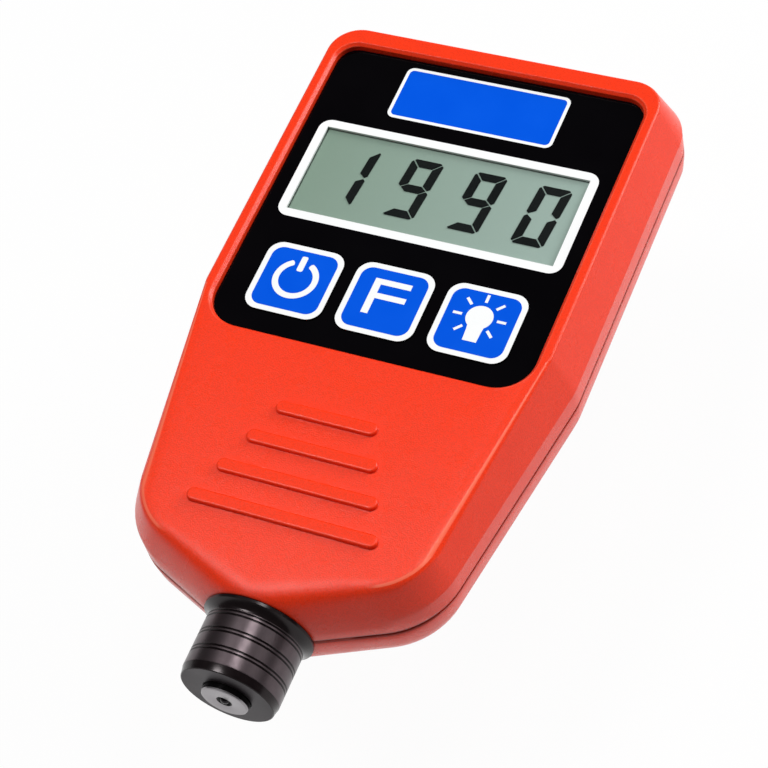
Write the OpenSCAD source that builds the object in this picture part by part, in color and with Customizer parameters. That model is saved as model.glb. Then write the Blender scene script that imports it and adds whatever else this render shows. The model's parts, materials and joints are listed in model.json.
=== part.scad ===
// Coating thickness gauge: hand-held meter with a display, three keys and a sprung probe at its lower end.
// It lies on its back: +Z out of the display, +Y to the top end, probe towards -Y. Millimetres.

/* [Housing] */
// Width across the straight sides
body_w = 64.6; // [62:0.2:80]
// Length from the top end to the front of the probe neck
body_len = 108.4; // [104:0.2:125]
// Radius of the two top corners in plan
top_r = 8.4; // [6:0.1:12]
// Length of the straight sides from the top end
side_len = 57.9; // [50:0.1:62]
// Set-in of the lower corners from the straight sides
low_taper = 5.6; // [3:0.1:7]
// Radius of the two lower corners in plan
low_r = 13.6; // [10:0.1:16]
// Distance from the front of the neck to the centres of the lower corners
low_from_neck = 16.7; // [15:0.1:22]
// Height of the parting plane, which also carries the probe axis
split_h = 10; // [9.8:0.1:12]
// Wall thickness of both shells
wall = 2; // [1.6:0.1:2.4]
// Height of the upright band above the parting plane
band_front = 3.6; // [2:0.1:6]
// Height of the upright band below the parting plane
band_rear = 1.6; // [1:0.1:3]
// Set-in of the face edge from the band, which gives the sloped flank
edge_inset = 3.1; // [1.5:0.05:3.5]
// Set-in of the face edge at the lower corners
low_inset = 2.3; // [1.5:0.05:3.5]
// Drop of the face from its flat part to the lower corners
low_drop = 1.7; // [0.8:0.1:2.5]
// Radius of the rounded crease along the face edge
crease_r = 0.6; // [0.3:0.1:1]
// Radius of the softer crease round the lower corners
low_crease_r = 1.6; // [0.8:0.1:2]
// Set-in of the flat back from the band
back_inset = 6.5; // [5:0.1:8]
// Width and height of the dark reveal along the parting line
reveal = 0.4; // [0.2:0.05:0.6]

/* [Neck] */
// Radius of the neck that holds the probe
neck_r = 9.5; // [9.2:0.05:9.85]
// Rounded edge on the front of the neck, across
neck_lip = 0.6; // [0.4:0.05:1]
// Rounded edge on the front of the neck, along
neck_lip_len = 2; // [1:0.1:3.5]
// Thickness of the neck wall that the barrel is clamped in
neck_wall = 2; // [1.6:0.1:3]

/* [Face] */
// Place of the display on the sunk panel, as a share of its length from the top
disp_share = 0.438; // [0.42:0.001:0.45]
// Place of the key row on the sunk panel, as a share of its length from the top
key_share = 0.8125; // [0.8:0.001:0.83]
// Width of the face rim beside the sunk panel
rim_side = 2; // [1.5:0.05:3]
// Width of the face rim above the sunk panel
rim_top = 3.4; // [2:0.05:5]
// Length of the sunk panel
panel_len = 59; // [56:0.1:62]
// Upper corner radius of the sunk panel
panel_r = 3.6; // [2:0.1:5]
// Lower corner radius of the sunk panel
panel_low_r = 6; // [4:0.1:9]
// Depth from the rim down to the printed overlay
lip_h = 1.3; // [0.8:0.1:2]
// Eased edge of the rim round the sunk panel
rim_round = 0.5; // [0.2:0.05:0.8]
// Thickness of the printed overlay
overlay_t = 0.4; // [0.3:0.05:0.6]

/* [Grip ribs] */
// Number of raised ribs on the lower face
rib_count = 4; // [3:1:4]
// Distance from the front of the neck to the first rib
rib_from_neck = 30.8; // [28:0.1:34]
// Spacing of the ribs
rib_pitch = 5.9; // [4:0.05:6.2]
// Length of the shortest rib
rib_first = 16.85; // [12:0.05:22]
// Added length from one rib to the next
rib_step = 4.8; // [2:0.05:6]
// Width of a rib
rib_w = 2.25; // [1.6:0.05:3]
// Height of a rib above the face
rib_h = 0.65; // [0.4:0.05:1]
// Radius of the rounded top edge of a rib
rib_round = 0.35; // [0.1:0.05:0.5]

/* [Display] */
// Width of the overlay beside the visible window
window_side = 4.2; // [3.6:0.05:7]
// Height of the visible window
window_h = 17.5; // [14:0.05:20]
// Thickness of the clear window
window_t = 0.8; // [0.6:0.05:1.2]
// Width of the ledge that carries the window
window_ledge = 1.6; // [1:0.1:2]
// Width of the lower display glass beside the window
glass_side = 2; // [1.5:0.1:3]
// Height of the lower display glass above and below the window
glass_lip = 4.25; // [3.5:0.05:5]
// Thickness of the lower display glass
glass_t = 1.4; // [1:0.1:1.8]
// Thickness of the upper display glass, which stands in the window opening
upper_glass_t = 1.1; // [0.8:0.1:1.5]
// Air gap between display glass and window
glass_gap = 0.2; // [0.1:0.05:0.5]
// Thickness of the backlight panel
light_t = 1.8; // [1.2:0.1:2.5]
// Width of the elastomer contact strips
strip_w = 2; // [1.5:0.1:2.4]

/* [Keys] */
// Width of the overlay beside the key row
key_side = 4.9; // [3.6:0.05:7]
// Width of the overlay between two keys
key_gap = 2.2; // [1.8:0.05:4]
// Corner radius of a key
key_r = 2.5; // [1.5:0.1:4]
// Height of a key above the overlay
key_proud = 0.25; // [0.1:0.05:0.4]
// Travel of a key
key_travel = 0.35; // [0.2:0.05:0.45]
// Thickness of the hidden flange that keeps a key in
key_flange_t = 0.5; // [0.3:0.05:0.6]
// Width of that flange beyond the key
key_flange_w = 0.5; // [0.3:0.05:0.6]
// Radius of the stem under a key
key_stem_r = 2.2; // [1.5:0.1:2.6]
// Side of a key switch
switch_w = 6; // [5:0.1:7]
// Height of the button on a key switch
switch_button_h = 0.55; // [0.3:0.05:0.8]
// Radius of the button on a key switch
switch_button_r = 1.6; // [1:0.1:2]

/* [Circuit board] */
// Width of the circuit board beside the upper screw bosses
board_rim = 0.75; // [0.6:0.05:1.5]
// Length of the circuit board past its lowest piece
board_end = 0.5; // [0.3:0.05:1]
// Distance from the top end to the circuit board
board_from_top = 6.5; // [6:0.1:8]
// Thickness of the circuit board
board_t = 1.2; // [1:0.1:1.6]
// Side of the controller chip
chip_w = 10; // [7:0.5:12]
// Thickness of the controller chip
chip_t = 1.4; // [1:0.1:2]
// Gap between the controller chip and the key switches
chip_gap = 1; // [0.6:0.1:1.5]
// Width of the probe socket
socket_w = 6; // [5:0.5:8]
// Length of the probe socket
socket_len = 5; // [4:0.5:6]
// Depth of the probe socket below the probe axis
socket_drop = 2; // [1.5:0.1:2.5]
// Gap between the probe socket and the battery bay
socket_gap = 3; // [2:0.1:4]

/* [Battery] */
// Diameter of a cell
cell_d = 10.4; // [10:0.1:11]
// Length of a cell with its nub
cell_len = 44.5; // [43:0.1:45.5]
// Radius of the positive nub
nub_r = 1.9; // [1.5:0.1:2.5]
// Height of the positive nub
nub_h = 1; // [0.8:0.1:1.5]
// Room for a contact spring
spring_room = 3.6; // [3:0.1:5]
// Radius of a contact spring at its plate
contact_coil_r = 2.6; // [2.2:0.1:3]
// Radius of a contact spring at the cell
contact_tip_r = 2; // [1.6:0.1:2.4]
// Wire radius of a contact spring
contact_wire_r = 0.3; // [0.2:0.05:0.4]
// Thickness of the contact plates
contact_t = 0.4; // [0.3:0.05:0.6]
// Side of the contact plates
contact_w = 7; // [6:0.1:8]
// Width of the tab from a contact plate up to the circuit board
tongue_w = 3; // [2:0.1:4]
// Thickness of the battery door
door_t = 1.5; // [1.2:0.1:2]
// Depth of the door below the back
door_in = 0.1; // [0.05:0.05:0.3]
// Width of the seat around the battery bay for the door
door_seat = 1.2; // [0.8:0.1:1.6]
// Distance from the top end to the battery bay
bay_from_top = 8.5; // [8:0.1:10]
// Thickness of the bay walls
bay_wall = 2.4; // [2:0.1:3]
// Width of a curved hinge hook on the door
hook_w = 2.2; // [1.8:0.1:2.4]
// Inner radius of a hinge hook about the hinge axis
hook_r = 2.1; // [2:0.05:2.3]
// Thickness of a hinge hook
hook_t = 0.9; // [0.7:0.05:1]
// Angle of the hook's tip from the door
hook_angle = 115; // [105:1:120]
// Radius of the finger notch at the free end of the door
notch_r = 5; // [4:0.1:6]
// Depth of that notch into the door
notch_in = 3; // [2.5:0.1:4]
// Length of the grip grooves across the door
grip_len = 14; // [10:0.5:18]
// Radius of a grip groove
grip_r = 0.4; // [0.3:0.05:0.5]
// Spacing of the grip grooves
grip_pitch = 2; // [1.5:0.1:2.5]

/* [Probe] */
// Radius of the turned probe barrel
barrel_r = 7.75; // [7:0.05:8.4]
// Radius of the flared collar behind it
collar_r = 8.8; // [8.6:0.05:9.2]
// Length of the barrel in front of the neck
barrel_len = 12.1; // [11.5:0.1:15]
// Width of the cylindrical edge of the collar
collar_edge = 0.6; // [0.3:0.05:1]
// Length of the collar with its hollow flare
collar_len = 1.9; // [1.5:0.05:2.6]
// Distance from the neck to the first pair of grooves
groove_from = 2.45; // [2.45:0.05:3.2]
// Spacing of the groove pairs
groove_pitch = 2.95; // [2.5:0.05:3.1]
// Depth of a groove
groove_depth = 0.18; // [0.1:0.01:0.25]
// Half width of a groove
groove_half = 0.17; // [0.1:0.01:0.2]
// Half spacing of the two grooves of a pair
groove_apart = 0.3; // [0.25:0.01:0.4]
// Length of the front chamfer
nose_len = 1.3; // [0.6:0.05:1.5]
// Radius of the front face at its edge
nose_r = 7.4; // [6:0.05:7.6]
// Radius of the shank in the neck
shank_r = 6; // [5.8:0.05:6.4]
// Radius of the flange inside the neck
flange_r = 7; // [6.8:0.05:7.2]
// Thickness of the flange inside the neck
flange_t = 2; // [1.5:0.1:3]
// Radius of the spring chamber
chamber_r = 5; // [4.9:0.05:5.2]
// Length of the front guide of the plunger
guide_len = 4; // [3.5:0.1:4.5]

/* [Sensor] */
// Radius of the sensor plunger
plunger_r = 3.77; // [3.4:0.01:4]
// Height that the plunger stands out of the barrel
plunger_out = 1.1; // [1:0.05:1.5]
// Height that stays out when it is pressed home
plunger_left = 0.1; // [0:0.05:0.2]
// Thickness of the plunger flange
plunger_flange_t = 1.7; // [1.2:0.1:2.2]
// Length of the plunger tail behind its flange
tail_len = 4; // [3:0.1:4.5]
// Radius of the plunger tail
tail_r = 3.1; // [3:0.05:3.2]
// Radius of the coil space in the plunger
coil_room_r = 2.6; // [2.4:0.05:2.7]
// Thickness of the plunger front wall
front_t = 1.2; // [1:0.05:1.5]
// Radius of the magnetic core
core_r = 1.1; // [0.9:0.05:1.2]
// Length of the coil
coil_len = 5.5; // [4:0.1:6]
// Radius of the contact ball
ball_r = 0.9; // [0.7:0.05:1]
// Height of the contact ball above the plunger
ball_out = 0.2; // [0.1:0.05:0.3]
// Width of the countersink round the contact ball
ball_sink = 0.9; // [0.6:0.05:1.2]
// Depth of that countersink
ball_sink_h = 0.6; // [0.4:0.05:0.8]
// Chamfer on the front edge of the plunger
plunger_ease = 0.3; // [0.2:0.05:0.4]
// Thickness of the shoulder between coil and front wall
coil_shoulder = 0.4; // [0.3:0.05:0.6]
// Wire radius of the probe spring
spring_wire_r = 0.3; // [0.2:0.05:0.35]
// Turns of the probe spring
spring_turns = 6; // [4:1:8]
// Thickness of the plug that closes the chamber
plug_t = 3; // [2.5:0.1:3.5]
// Wire radius of the probe leads
lead_r = 0.6; // [0.4:0.05:0.8]
// Distance of the probe leads from the probe axis
lead_x = 2; // [1.5:0.1:2.4]

/* [Screws] */
// Shank radius of the housing screws
screw_r = 1.25; // [1:0.05:1.4]
// Head radius of the housing screws
screw_head_r = 2.4; // [2:0.05:2.6]
// Head height of the housing screws
screw_head_h = 1.8; // [1.4:0.1:2.2]
// Depth of the head seat below the back
screw_seat = 4; // [3:0.1:5]
// Outer radius of the screw bosses
boss_r = 3.6; // [3.4:0.1:4]
// Distance from the top end to the upper screws
screw_from_top = 10.5; // [10:0.1:12]
// Distance from the front of the neck to the lower screws
low_screw_from_neck = 23; // [21:0.5:26]
// Distance of the upper screw bosses from the rounded edge of the back
boss_in = 1.4; // [1:0.1:2]
// Shank radius of the board screws
board_screw_r = 0.9; // [0.7:0.05:1]
// Head radius of the board screws
board_head_r = 1.8; // [1.5:0.05:2]
// Head height of the board screws
board_head_h = 1.2; // [0.8:0.1:1.4]
// Outer radius of the board bosses
board_boss_r = 2.2; // [2:0.05:2.6]
// Half spacing of the board screws
board_screw_x = 12; // [11.5:0.1:12.5]
// Gap between the end of a screw and the bottom of its hole
screw_end = 0.4; // [0.3:0.05:0.8]
// Inset of the board screws from the upper and lower edge of the board
board_screw_in = 4.6; // [4:0.1:5]

/* [Fits] */
// Gap around moulded pieces that are laid in
fit = 0.15; // [0.1:0.01:0.25]
// Gap between faces that seat on each other
seat = 0.05; // [0.02:0.01:0.08]
// Radial clearance of turned pieces that slide
run = 0.05; // [0.03:0.01:0.1]
// Radial clearance between cells and bay
cell_fit = 0.4; // [0.3:0.05:0.6]
// Height between cells and circuit board
board_gap = 0.7; // [0.6:0.05:1.2]

/* [Hidden] */
$fn = 64;
eps = 0.01;

// Lengths along the body
tip_out = barrel_len + plunger_out + ball_out;
total_len = body_len + tip_out;
top_y = total_len / 2;
neck_y = top_y - body_len;
low_y = neck_y + low_from_neck;
low_w = body_w - 2 * low_taper;

// Heights from the back up to the face
door_z1 = door_in + door_t;
cell_z = door_z1 + cell_fit / 2 + cell_d / 2;
board_z = cell_z + cell_d / 2 + board_gap;
board_top = board_z + board_t;
light_z = board_top + seat;
glass_z = light_z + light_t + seat;
glass_step = glass_z + glass_t;
plate_z = glass_step + seat;
glass_top = glass_step + upper_glass_t;
window_z = glass_top + glass_gap;
floor_z = window_z + window_t;
panel_z = floor_z + overlay_t;
body_h = panel_z + lip_h;

// Face and panel
face_w = body_w - 2 * edge_inset;
flank_a = atan(edge_inset / (body_h - split_h - band_front));
crease_k = (1 - sin(flank_a)) / cos(flank_a);
panel_w = face_w - 2 * rim_side;
panel_y1 = top_y - edge_inset - rim_top;
panel_y0 = panel_y1 - panel_len;
disp_y = panel_y1 - disp_share * panel_len;
window_w = panel_w - 2 * window_side;
glass_w = window_w + 2 * glass_side;
glass_h = window_h + 2 * glass_lip;
rib_y = neck_y + rib_from_neck;
flat_y = top_y - side_len - (top_r - edge_inset);
neck_top = split_h + neck_r;
function face_z(y) = y > flat_y ? body_h
    : body_h - (flat_y - y) * (body_h - neck_top) / (flat_y - neck_y - neck_lip_len);

// Keys
key_y = panel_y1 - key_share * panel_len;
key_w = (panel_w - 2 * key_side - 2 * key_gap) / 3;
key_pitch = key_w + key_gap;
key_z0 = floor_z - seat - key_flange_t;
key_floor = key_z0 - key_travel - seat;
stem_z = plate_z + key_travel + seat;

// Battery bay
cell_x = cell_d / 2 + cell_fit / 2;
bay_x = cell_x + cell_d / 2 + cell_fit;
bay_len = cell_len + spring_room + 2 * contact_t + 3 * seat;
bay_y1 = top_y - bay_from_top;
bay_y0 = bay_y1 - bay_len;
bay_top = board_z - board_head_h - board_gap;
door_x = bay_x + door_seat;
hinge_y = bay_y0 - door_seat;
hinge_z = door_in;
hook_x = bay_x - hook_w / 2 - 2 * fit;
hook_start = asin(door_t / 2 / hook_r);
plate_bottom = hinge_z + hook_r + hook_t + board_gap;

// Screws
screw_x = body_w / 2 - back_inset - boss_r - boss_in;
low_screw_x = low_w / 2 - back_inset - boss_r;
SCREWS = [[screw_x, top_y - screw_from_top], [-screw_x, top_y - screw_from_top],
    [low_screw_x, neck_y + low_screw_from_neck], [-low_screw_x, neck_y + low_screw_from_neck]];

// Circuit board, which reaches past the chip and the socket
board_w = 2 * (screw_x + boss_r + fit + board_rim);
chip_y = key_y - switch_w / 2 - chip_gap - chip_w;
socket_y = bay_y0 - bay_wall - socket_gap - socket_len;
board_y1 = top_y - board_from_top;
board_y0 = min(chip_y, socket_y) - board_end;
board_len = board_y1 - board_y0;
BOARD_SCREWS = [for (x = [-1, 1], y = [board_y0 + board_screw_in, board_y1 - board_screw_in])
    [x * board_screw_x, y]];

// Probe, measured forward from the front of the neck
bore_r = plunger_r + run;
chamber_end = barrel_len - guide_len;
plug_face = -neck_wall - seat - flange_t + plug_t;
flange_face = chamber_end - seat;
flange_back = flange_face - plunger_flange_t;
plunger_face = barrel_len + plunger_out;
tail_end = flange_back - tail_len;
ball_s = plunger_face + ball_out - ball_r;
core_end = ball_s - ball_r - seat;
coil_front = plunger_face - front_t - coil_shoulder;

red = "#ff4a2b";
blue = "#0a5fe0";
black = "#141416";
steel = "#b9bcc0";

// Corner rounds of the plan outline without the neck, set in by d
module plan_rounds(d) {
    for (x = [-1, 1]) {
        translate([x * (body_w / 2 - top_r), top_y - top_r])
            circle(r = top_r - d, $fn = 72);
        translate([x * (body_w / 2 - top_r), top_y - side_len])
            circle(r = top_r - d, $fn = 72);
        translate([x * (low_w / 2 - low_r), low_y])
            circle(r = low_r - d, $fn = 72);
    }
}

// Plan outline of the housing without the neck, set in by d
module plan(d) {
    hull()
        plan_rounds(d);
}

// Corner rounds of the flat upper face, set in by d
module face_rounds(d) {
    for (x = [-1, 1], y = [top_y - top_r, top_y - side_len])
        translate([x * (body_w / 2 - top_r), y])
            circle(r = top_r - d, $fn = 72);
}

// Places children on the probe axis, with local +Z pointing forward out of the neck
module on_probe() {
    translate([0, neck_y, split_h])
        rotate([90, 0, 0])
            children();
}

// Outer form of the closed housing: band, flanks, rounded creases and back and the neck in one loft
module outer_body() {
    hull() {
        translate([0, 0, split_h - band_rear])
            linear_extrude(band_rear + band_front)
                plan_rounds(0);
        for (a = [flank_a : (90 - flank_a) / 3 : 90])
            translate([0, 0, body_h - crease_r * (1 - sin(a)) - eps])
                linear_extrude(eps)
                    face_rounds(edge_inset + crease_r * (crease_k - cos(a)));
        for (x = [-1, 1], a = [flank_a : (90 - flank_a) / 4 : 90])
            translate([x * (low_w / 2 - low_r), low_y, body_h - low_drop - low_crease_r * (1 - sin(a))])
                cylinder(r = low_r - low_inset - low_crease_r * (crease_k - cos(a)), h = eps, $fn = 72);
        for (a = [18, 36, 54, 72, 90])
            translate([0, 0, (split_h - band_rear) * (1 - sin(a))])
                linear_extrude(eps)
                    plan_rounds(back_inset * (1 - cos(a)));
        on_probe()
            for (a = [0, 22.5, 45, 67.5, 90])
                translate([0, 0, -neck_lip_len * (1 - sin(a)) - eps])
                    cylinder(r = neck_r - neck_lip * (1 - cos(a)), h = eps, $fn = 72);
    }
}

// Hollow of the front shell, up to the plate that carries the panel
module front_hollow() {
    flank = edge_inset * (plate_z - split_h - band_front) / (body_h - split_h - band_front);
    hull() {
        translate([0, 0, split_h - 1])
            linear_extrude(band_front)
                plan_rounds(wall);
        translate([0, 0, plate_z - eps])
            linear_extrude(eps)
                plan_rounds(wall + max(flank, 0) + wall / 5);
        neck_hollow();
    }
}

// Hollow of the rear shell, down to the inside of the back
module rear_hollow() {
    hull() {
        translate([0, 0, split_h - band_rear])
            linear_extrude(band_rear + 1)
                plan_rounds(wall);
        for (a = [30, 60, 90])
            translate([0, 0, wall + (split_h - band_rear - wall) * (1 - sin(a))])
                linear_extrude(eps)
                    plan_rounds(wall + (back_inset - wall * 0.5) * (1 - cos(a)));
        neck_hollow();
    }
}

// Round end of both hollows behind the neck wall
module neck_hollow() {
    on_probe()
        translate([0, 0, -neck_wall - wall / 4])
            cylinder(r = neck_r - wall, h = wall / 4, $fn = 64);
}

// Corner rounds of the sunk panel on the face, set in by d
module panel_rounds(d) {
    for (x = [-1, 1]) {
        translate([x * (panel_w / 2 - panel_r), panel_y1 - panel_r])
            circle(r = panel_r - d, $fn = 48);
        translate([x * (panel_w / 2 - panel_low_r), panel_y0 + panel_low_r])
            circle(r = panel_low_r - d, $fn = 48);
    }
}

// Outline of the sunk panel on the face, set in by d
module panel_outline(d) {
    hull()
        panel_rounds(d);
}

// Pocket for the panel, with its rim eased
module panel_pocket() {
    translate([0, 0, floor_z])
        linear_extrude(body_h)
            panel_outline(0);
    hull()
        for (k = [-1.2, 1.2])
            translate([0, 0, body_h - rim_round * (1 - k)])
                linear_extrude(eps)
                    panel_rounds(-k * rim_round);
}

// Square with rounded corners about the origin
module rounded(w, h, r) {
    square([w - 2 * r, h], center = true);
    square([w, h - 2 * r], center = true);
    for (x = [-1, 1], y = [-1, 1])
        translate([x * (w / 2 - r), y * (h / 2 - r)])
            circle(r = r);
}

// Cross section of a grip rib with a rounded top, standing on a root of the given depth
module rib_section(root) {
    top = root + rib_h;
    translate([-rib_w / 2, 0])
        square([rib_w, top - rib_round]);
    translate([-rib_w / 2 + rib_round, 0])
        square([rib_w - 2 * rib_round, top]);
    for (x = [-1, 1])
        translate([x * (rib_w / 2 - rib_round), top - rib_round])
            circle(r = rib_round, $fn = 32);
}

// Grip rib along X with round ends
module rib(len, root) {
    rotate([90, 0, 90])
        translate([0, 0, -(len - rib_w) / 2])
            linear_extrude(len - rib_w)
                rib_section(root);
    for (x = [-1, 1])
        translate([x * (len - rib_w) / 2, 0, 0])
            rotate_extrude()
                intersection() {
                    rib_section(root);
                    square([rib_w, 2 * (root + rib_h)]);
                }
}

// Places children at each key
module at_keys() {
    for (i = [-1, 0, 1])
        translate([i * key_pitch, key_y, 0])
            children();
}

// Curved hook about the hinge axis of the door, on the side x of the bay
module hinge_hook(x, r, t, w, angle) {
    translate([x * hook_x, hinge_y, hinge_z])
        rotate([90, 0, 90])
            rotate([0, 0, hook_start])
                rotate_extrude(angle = angle - hook_start, $fn = 96)
                    translate([r, -w / 2])
                        square([t, w]);
}

module front_shell() {
    color(red)
        difference() {
            union() {
                difference() {
                    intersection() {
                        outer_body();
                        translate([-body_w, -total_len, split_h])
                            cube([2 * body_w, 2 * total_len, body_h]);
                    }
                    front_hollow();
                }
                for (i = [0 : rib_count - 1])
                    translate([0, rib_y - i * rib_pitch, plate_z - rib_round])
                        rib(rib_first + i * rib_step, face_z(rib_y - i * rib_pitch) - plate_z + rib_round);
                for (p = SCREWS)
                    translate([p[0], p[1], split_h + seat])
                        cylinder(r = boss_r, h = plate_z - split_h);
                for (p = BOARD_SCREWS)
                    translate([p[0], p[1], board_top + seat])
                        cylinder(r = board_boss_r, h = plate_z - board_top);
            }
            panel_pocket();
            translate([0, disp_y, window_z])
                linear_extrude(body_h)
                    square([window_w + 2 * window_ledge + 2 * fit, window_h + 2 * window_ledge + 2 * fit],
                        center = true);
            translate([0, disp_y, split_h])
                linear_extrude(body_h)
                    square([window_w + 6 * fit, window_h + 6 * fit], center = true);
            at_keys() {
                translate([0, 0, key_floor])
                    linear_extrude(body_h)
                        rounded(key_w + 2 * key_flange_w + 2 * fit, key_w + 2 * key_flange_w + 2 * fit,
                            key_r + key_flange_w);
                translate([0, 0, split_h])
                    cylinder(r = key_stem_r + fit, h = body_h);
            }
            for (p = SCREWS)
                translate([p[0], p[1], split_h - 1])
                    cylinder(r = screw_r + run, h = plate_z - split_h);
            for (p = BOARD_SCREWS)
                translate([p[0], p[1], board_z])
                    cylinder(r = board_screw_r + run, h = plate_z - board_z - screw_end);
            on_probe()
                translate([0, 0, -neck_wall - 1])
                    cylinder(r = shank_r + run, h = neck_wall + 2);
        }
}

module rear_shell() {
    color(red)
        difference() {
            union() {
                difference() {
                    intersection() {
                        outer_body();
                        translate([-body_w, -total_len, 0])
                            cube([2 * body_w, 2 * total_len, split_h - seat]);
                    }
                    rear_hollow();
                }
                for (p = SCREWS)
                    translate([p[0], p[1], wall / 2])
                        cylinder(r = boss_r, h = split_h - seat - wall / 2);
                difference() {
                    translate([-bay_x - bay_wall, bay_y0 - bay_wall, wall / 2])
                        cube([2 * (bay_x + bay_wall), bay_len + 2 * bay_wall, bay_top - wall / 2]);
                    translate([-bay_x, bay_y0, 0])
                        cube([2 * bay_x, bay_len, body_h]);
                }
            }
            translate([-door_x - fit, bay_y0 - door_seat - fit, -1])
                cube([2 * (door_x + fit), bay_len + 2 * (door_seat + fit), door_z1 + seat + 1]);
            translate([-bay_x, bay_y0, -1])
                cube([2 * bay_x, bay_len, wall + 2]);
            for (x = [-1, 1])
                hinge_hook(x, hook_r - 2 * run, hook_t + 4 * run, hook_w + 2 * fit, hook_angle + 8);
            translate([0, bay_y1 + door_seat - notch_in, -1])
                cylinder(r = notch_r, h = 1 + door_in + door_t / 2);
            for (p = SCREWS)
                translate([p[0], p[1], -1]) {
                    cylinder(r = screw_head_r + fit, h = 1 + screw_seat);
                    cylinder(r = screw_r + fit, h = split_h + 2);
                }
            difference() {
                translate([0, 0, split_h - seat - reveal])
                    linear_extrude(1)
                        plan(-1);
                translate([0, 0, split_h - seat - reveal - 1])
                    linear_extrude(3)
                        plan(reveal);
                on_probe()
                    translate([0, 0, -2 * neck_wall - neck_lip_len])
                        cylinder(r = 1.5 * neck_r, h = 3 * neck_wall + neck_lip_len);
            }
            on_probe()
                translate([0, 0, -neck_wall - 1])
                    cylinder(r = shank_r + run, h = neck_wall + 2);
        }
}

module battery_door() {
    color(red)
        difference() {
            union() {
                translate([-door_x, bay_y0 - door_seat, door_in])
                    cube([2 * door_x, bay_len + 2 * door_seat, door_t]);
                for (x = [-1, 1])
                    hinge_hook(x, hook_r, hook_t, hook_w, hook_angle);
            }
            for (i = [0 : 4])
                translate([0, bay_y1 - notch_in - i * grip_pitch, door_in])
                    rotate([0, 90, 0])
                        cylinder(r = grip_r, h = grip_len, center = true);
        }
}

module face_overlay() {
    color(black)
        difference() {
            translate([0, 0, floor_z])
                linear_extrude(overlay_t)
                    panel_outline(fit);
            translate([0, disp_y, floor_z - 1])
                linear_extrude(overlay_t + 2)
                    square([window_w, window_h], center = true);
            at_keys()
                translate([0, 0, floor_z - 1])
                    linear_extrude(overlay_t + 2)
                        rounded(key_w + 2 * fit, key_w + 2 * fit, key_r + fit);
        }
}

module display_window() {
    color("#dfe8e4", 0.5)
        translate([0, disp_y, window_z])
            linear_extrude(window_t)
                square([window_w + 2 * window_ledge, window_h + 2 * window_ledge], center = true);
}

module display_glass() {
    color("#9fb0a6") {
        translate([0, disp_y, glass_z])
            linear_extrude(glass_t)
                square([glass_w, glass_h], center = true);
        translate([0, disp_y, glass_z])
            linear_extrude(glass_t + upper_glass_t)
                square([window_w + 2 * fit, window_h + 2 * fit], center = true);
    }
}

module backlight_panel() {
    color("#e8ece6")
        translate([0, disp_y, light_z])
            linear_extrude(light_t)
                square([glass_w - glass_side, glass_h - 2.5 * strip_w], center = true);
}

module contact_strips() {
    color("#f0a0b0")
        for (y = [-1, 1])
            translate([0, disp_y + y * (glass_h - strip_w) / 2, light_z])
                linear_extrude(light_t)
                    square([glass_w - glass_side, strip_w], center = true);
}

module circuit_board() {
    color("#1f6b3a")
        difference() {
            translate([-board_w / 2, board_y0, board_z])
                cube([board_w, board_len, board_t]);
            for (p = SCREWS)
                translate([p[0], p[1], board_z - 1])
                    cylinder(r = boss_r + fit, h = board_t + 2);
            for (p = BOARD_SCREWS)
                translate([p[0], p[1], board_z - 1])
                    cylinder(r = board_screw_r + fit, h = board_t + 2);
        }
}

module controller_chip() {
    color(black)
        translate([-chip_w / 2, chip_y, board_top])
            cube([chip_w, chip_w, chip_t]);
}

module probe_socket() {
    color("#e9e6dc")
        translate([-socket_w / 2, socket_y, split_h - socket_drop])
            cube([socket_w, socket_len, board_z - split_h + socket_drop]);
}

module key_switches() {
    color("#3a3a3e")
        at_keys() {
            translate([-switch_w / 2, -switch_w / 2, board_top])
                cube([switch_w, switch_w, plate_z - switch_button_h - board_top]);
            translate([0, 0, board_top])
                cylinder(r = switch_button_r, h = plate_z - board_top);
        }
}

// One key: the visible square, its flange under the overlay and its stem
module key_at(i) {
    color(blue)
        translate([i * key_pitch, key_y, 0]) {
            translate([0, 0, key_z0])
                linear_extrude(panel_z + key_proud - key_z0)
                    rounded(key_w, key_w, key_r);
            translate([0, 0, key_z0])
                linear_extrude(key_flange_t)
                    rounded(key_w + 2 * key_flange_w, key_w + 2 * key_flange_w, key_r + key_flange_w);
            translate([0, 0, stem_z])
                cylinder(r = key_stem_r, h = key_z0 + key_flange_t - stem_z);
        }
}

module key_power() {
    key_at(-1);
}

module key_function() {
    key_at(0);
}

module key_light() {
    key_at(1);
}

// One cell with its nub towards +Y, starting at y = 0
module cell() {
    rotate([-90, 0, 0]) {
        cylinder(r = cell_d / 2, h = cell_len - nub_h);
        cylinder(r = nub_r, h = cell_len);
    }
}

module cell_left() {
    color("#2f5d9c")
        translate([-cell_x, bay_y1 - seat * 2 - contact_t - cell_len, cell_z])
            cell();
}

module cell_right() {
    color("#2f5d9c")
        translate([cell_x, bay_y0 + seat * 2 + contact_t + cell_len, cell_z])
            rotate([0, 0, 180])
                cell();
}

// Coil of round wire along +Z between two radii
module coil(r0, r1, len, turns, wire) {
    steps = 14 * turns;
    sides = 6;
    pts = [for (i = [0 : steps], k = [0 : sides - 1])
        let (a = 360 * turns * i / steps, r = r0 + (r1 - r0) * i / steps + wire * cos(360 * k / sides))
            [r * cos(a), r * sin(a), wire + (len - 2 * wire) * i / steps + wire * sin(360 * k / sides)]];
    walls = [for (i = [0 : steps - 1], k = [0 : sides - 1])
        let (m = (k + 1) % sides)
            [i * sides + k, i * sides + m, (i + 1) * sides + m, (i + 1) * sides + k]];
    first = [for (k = [0 : sides - 1]) sides - 1 - k];
    last = [for (k = [0 : sides - 1]) steps * sides + k];
    polyhedron(pts, concat(walls, [first], [last]));
}

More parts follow.
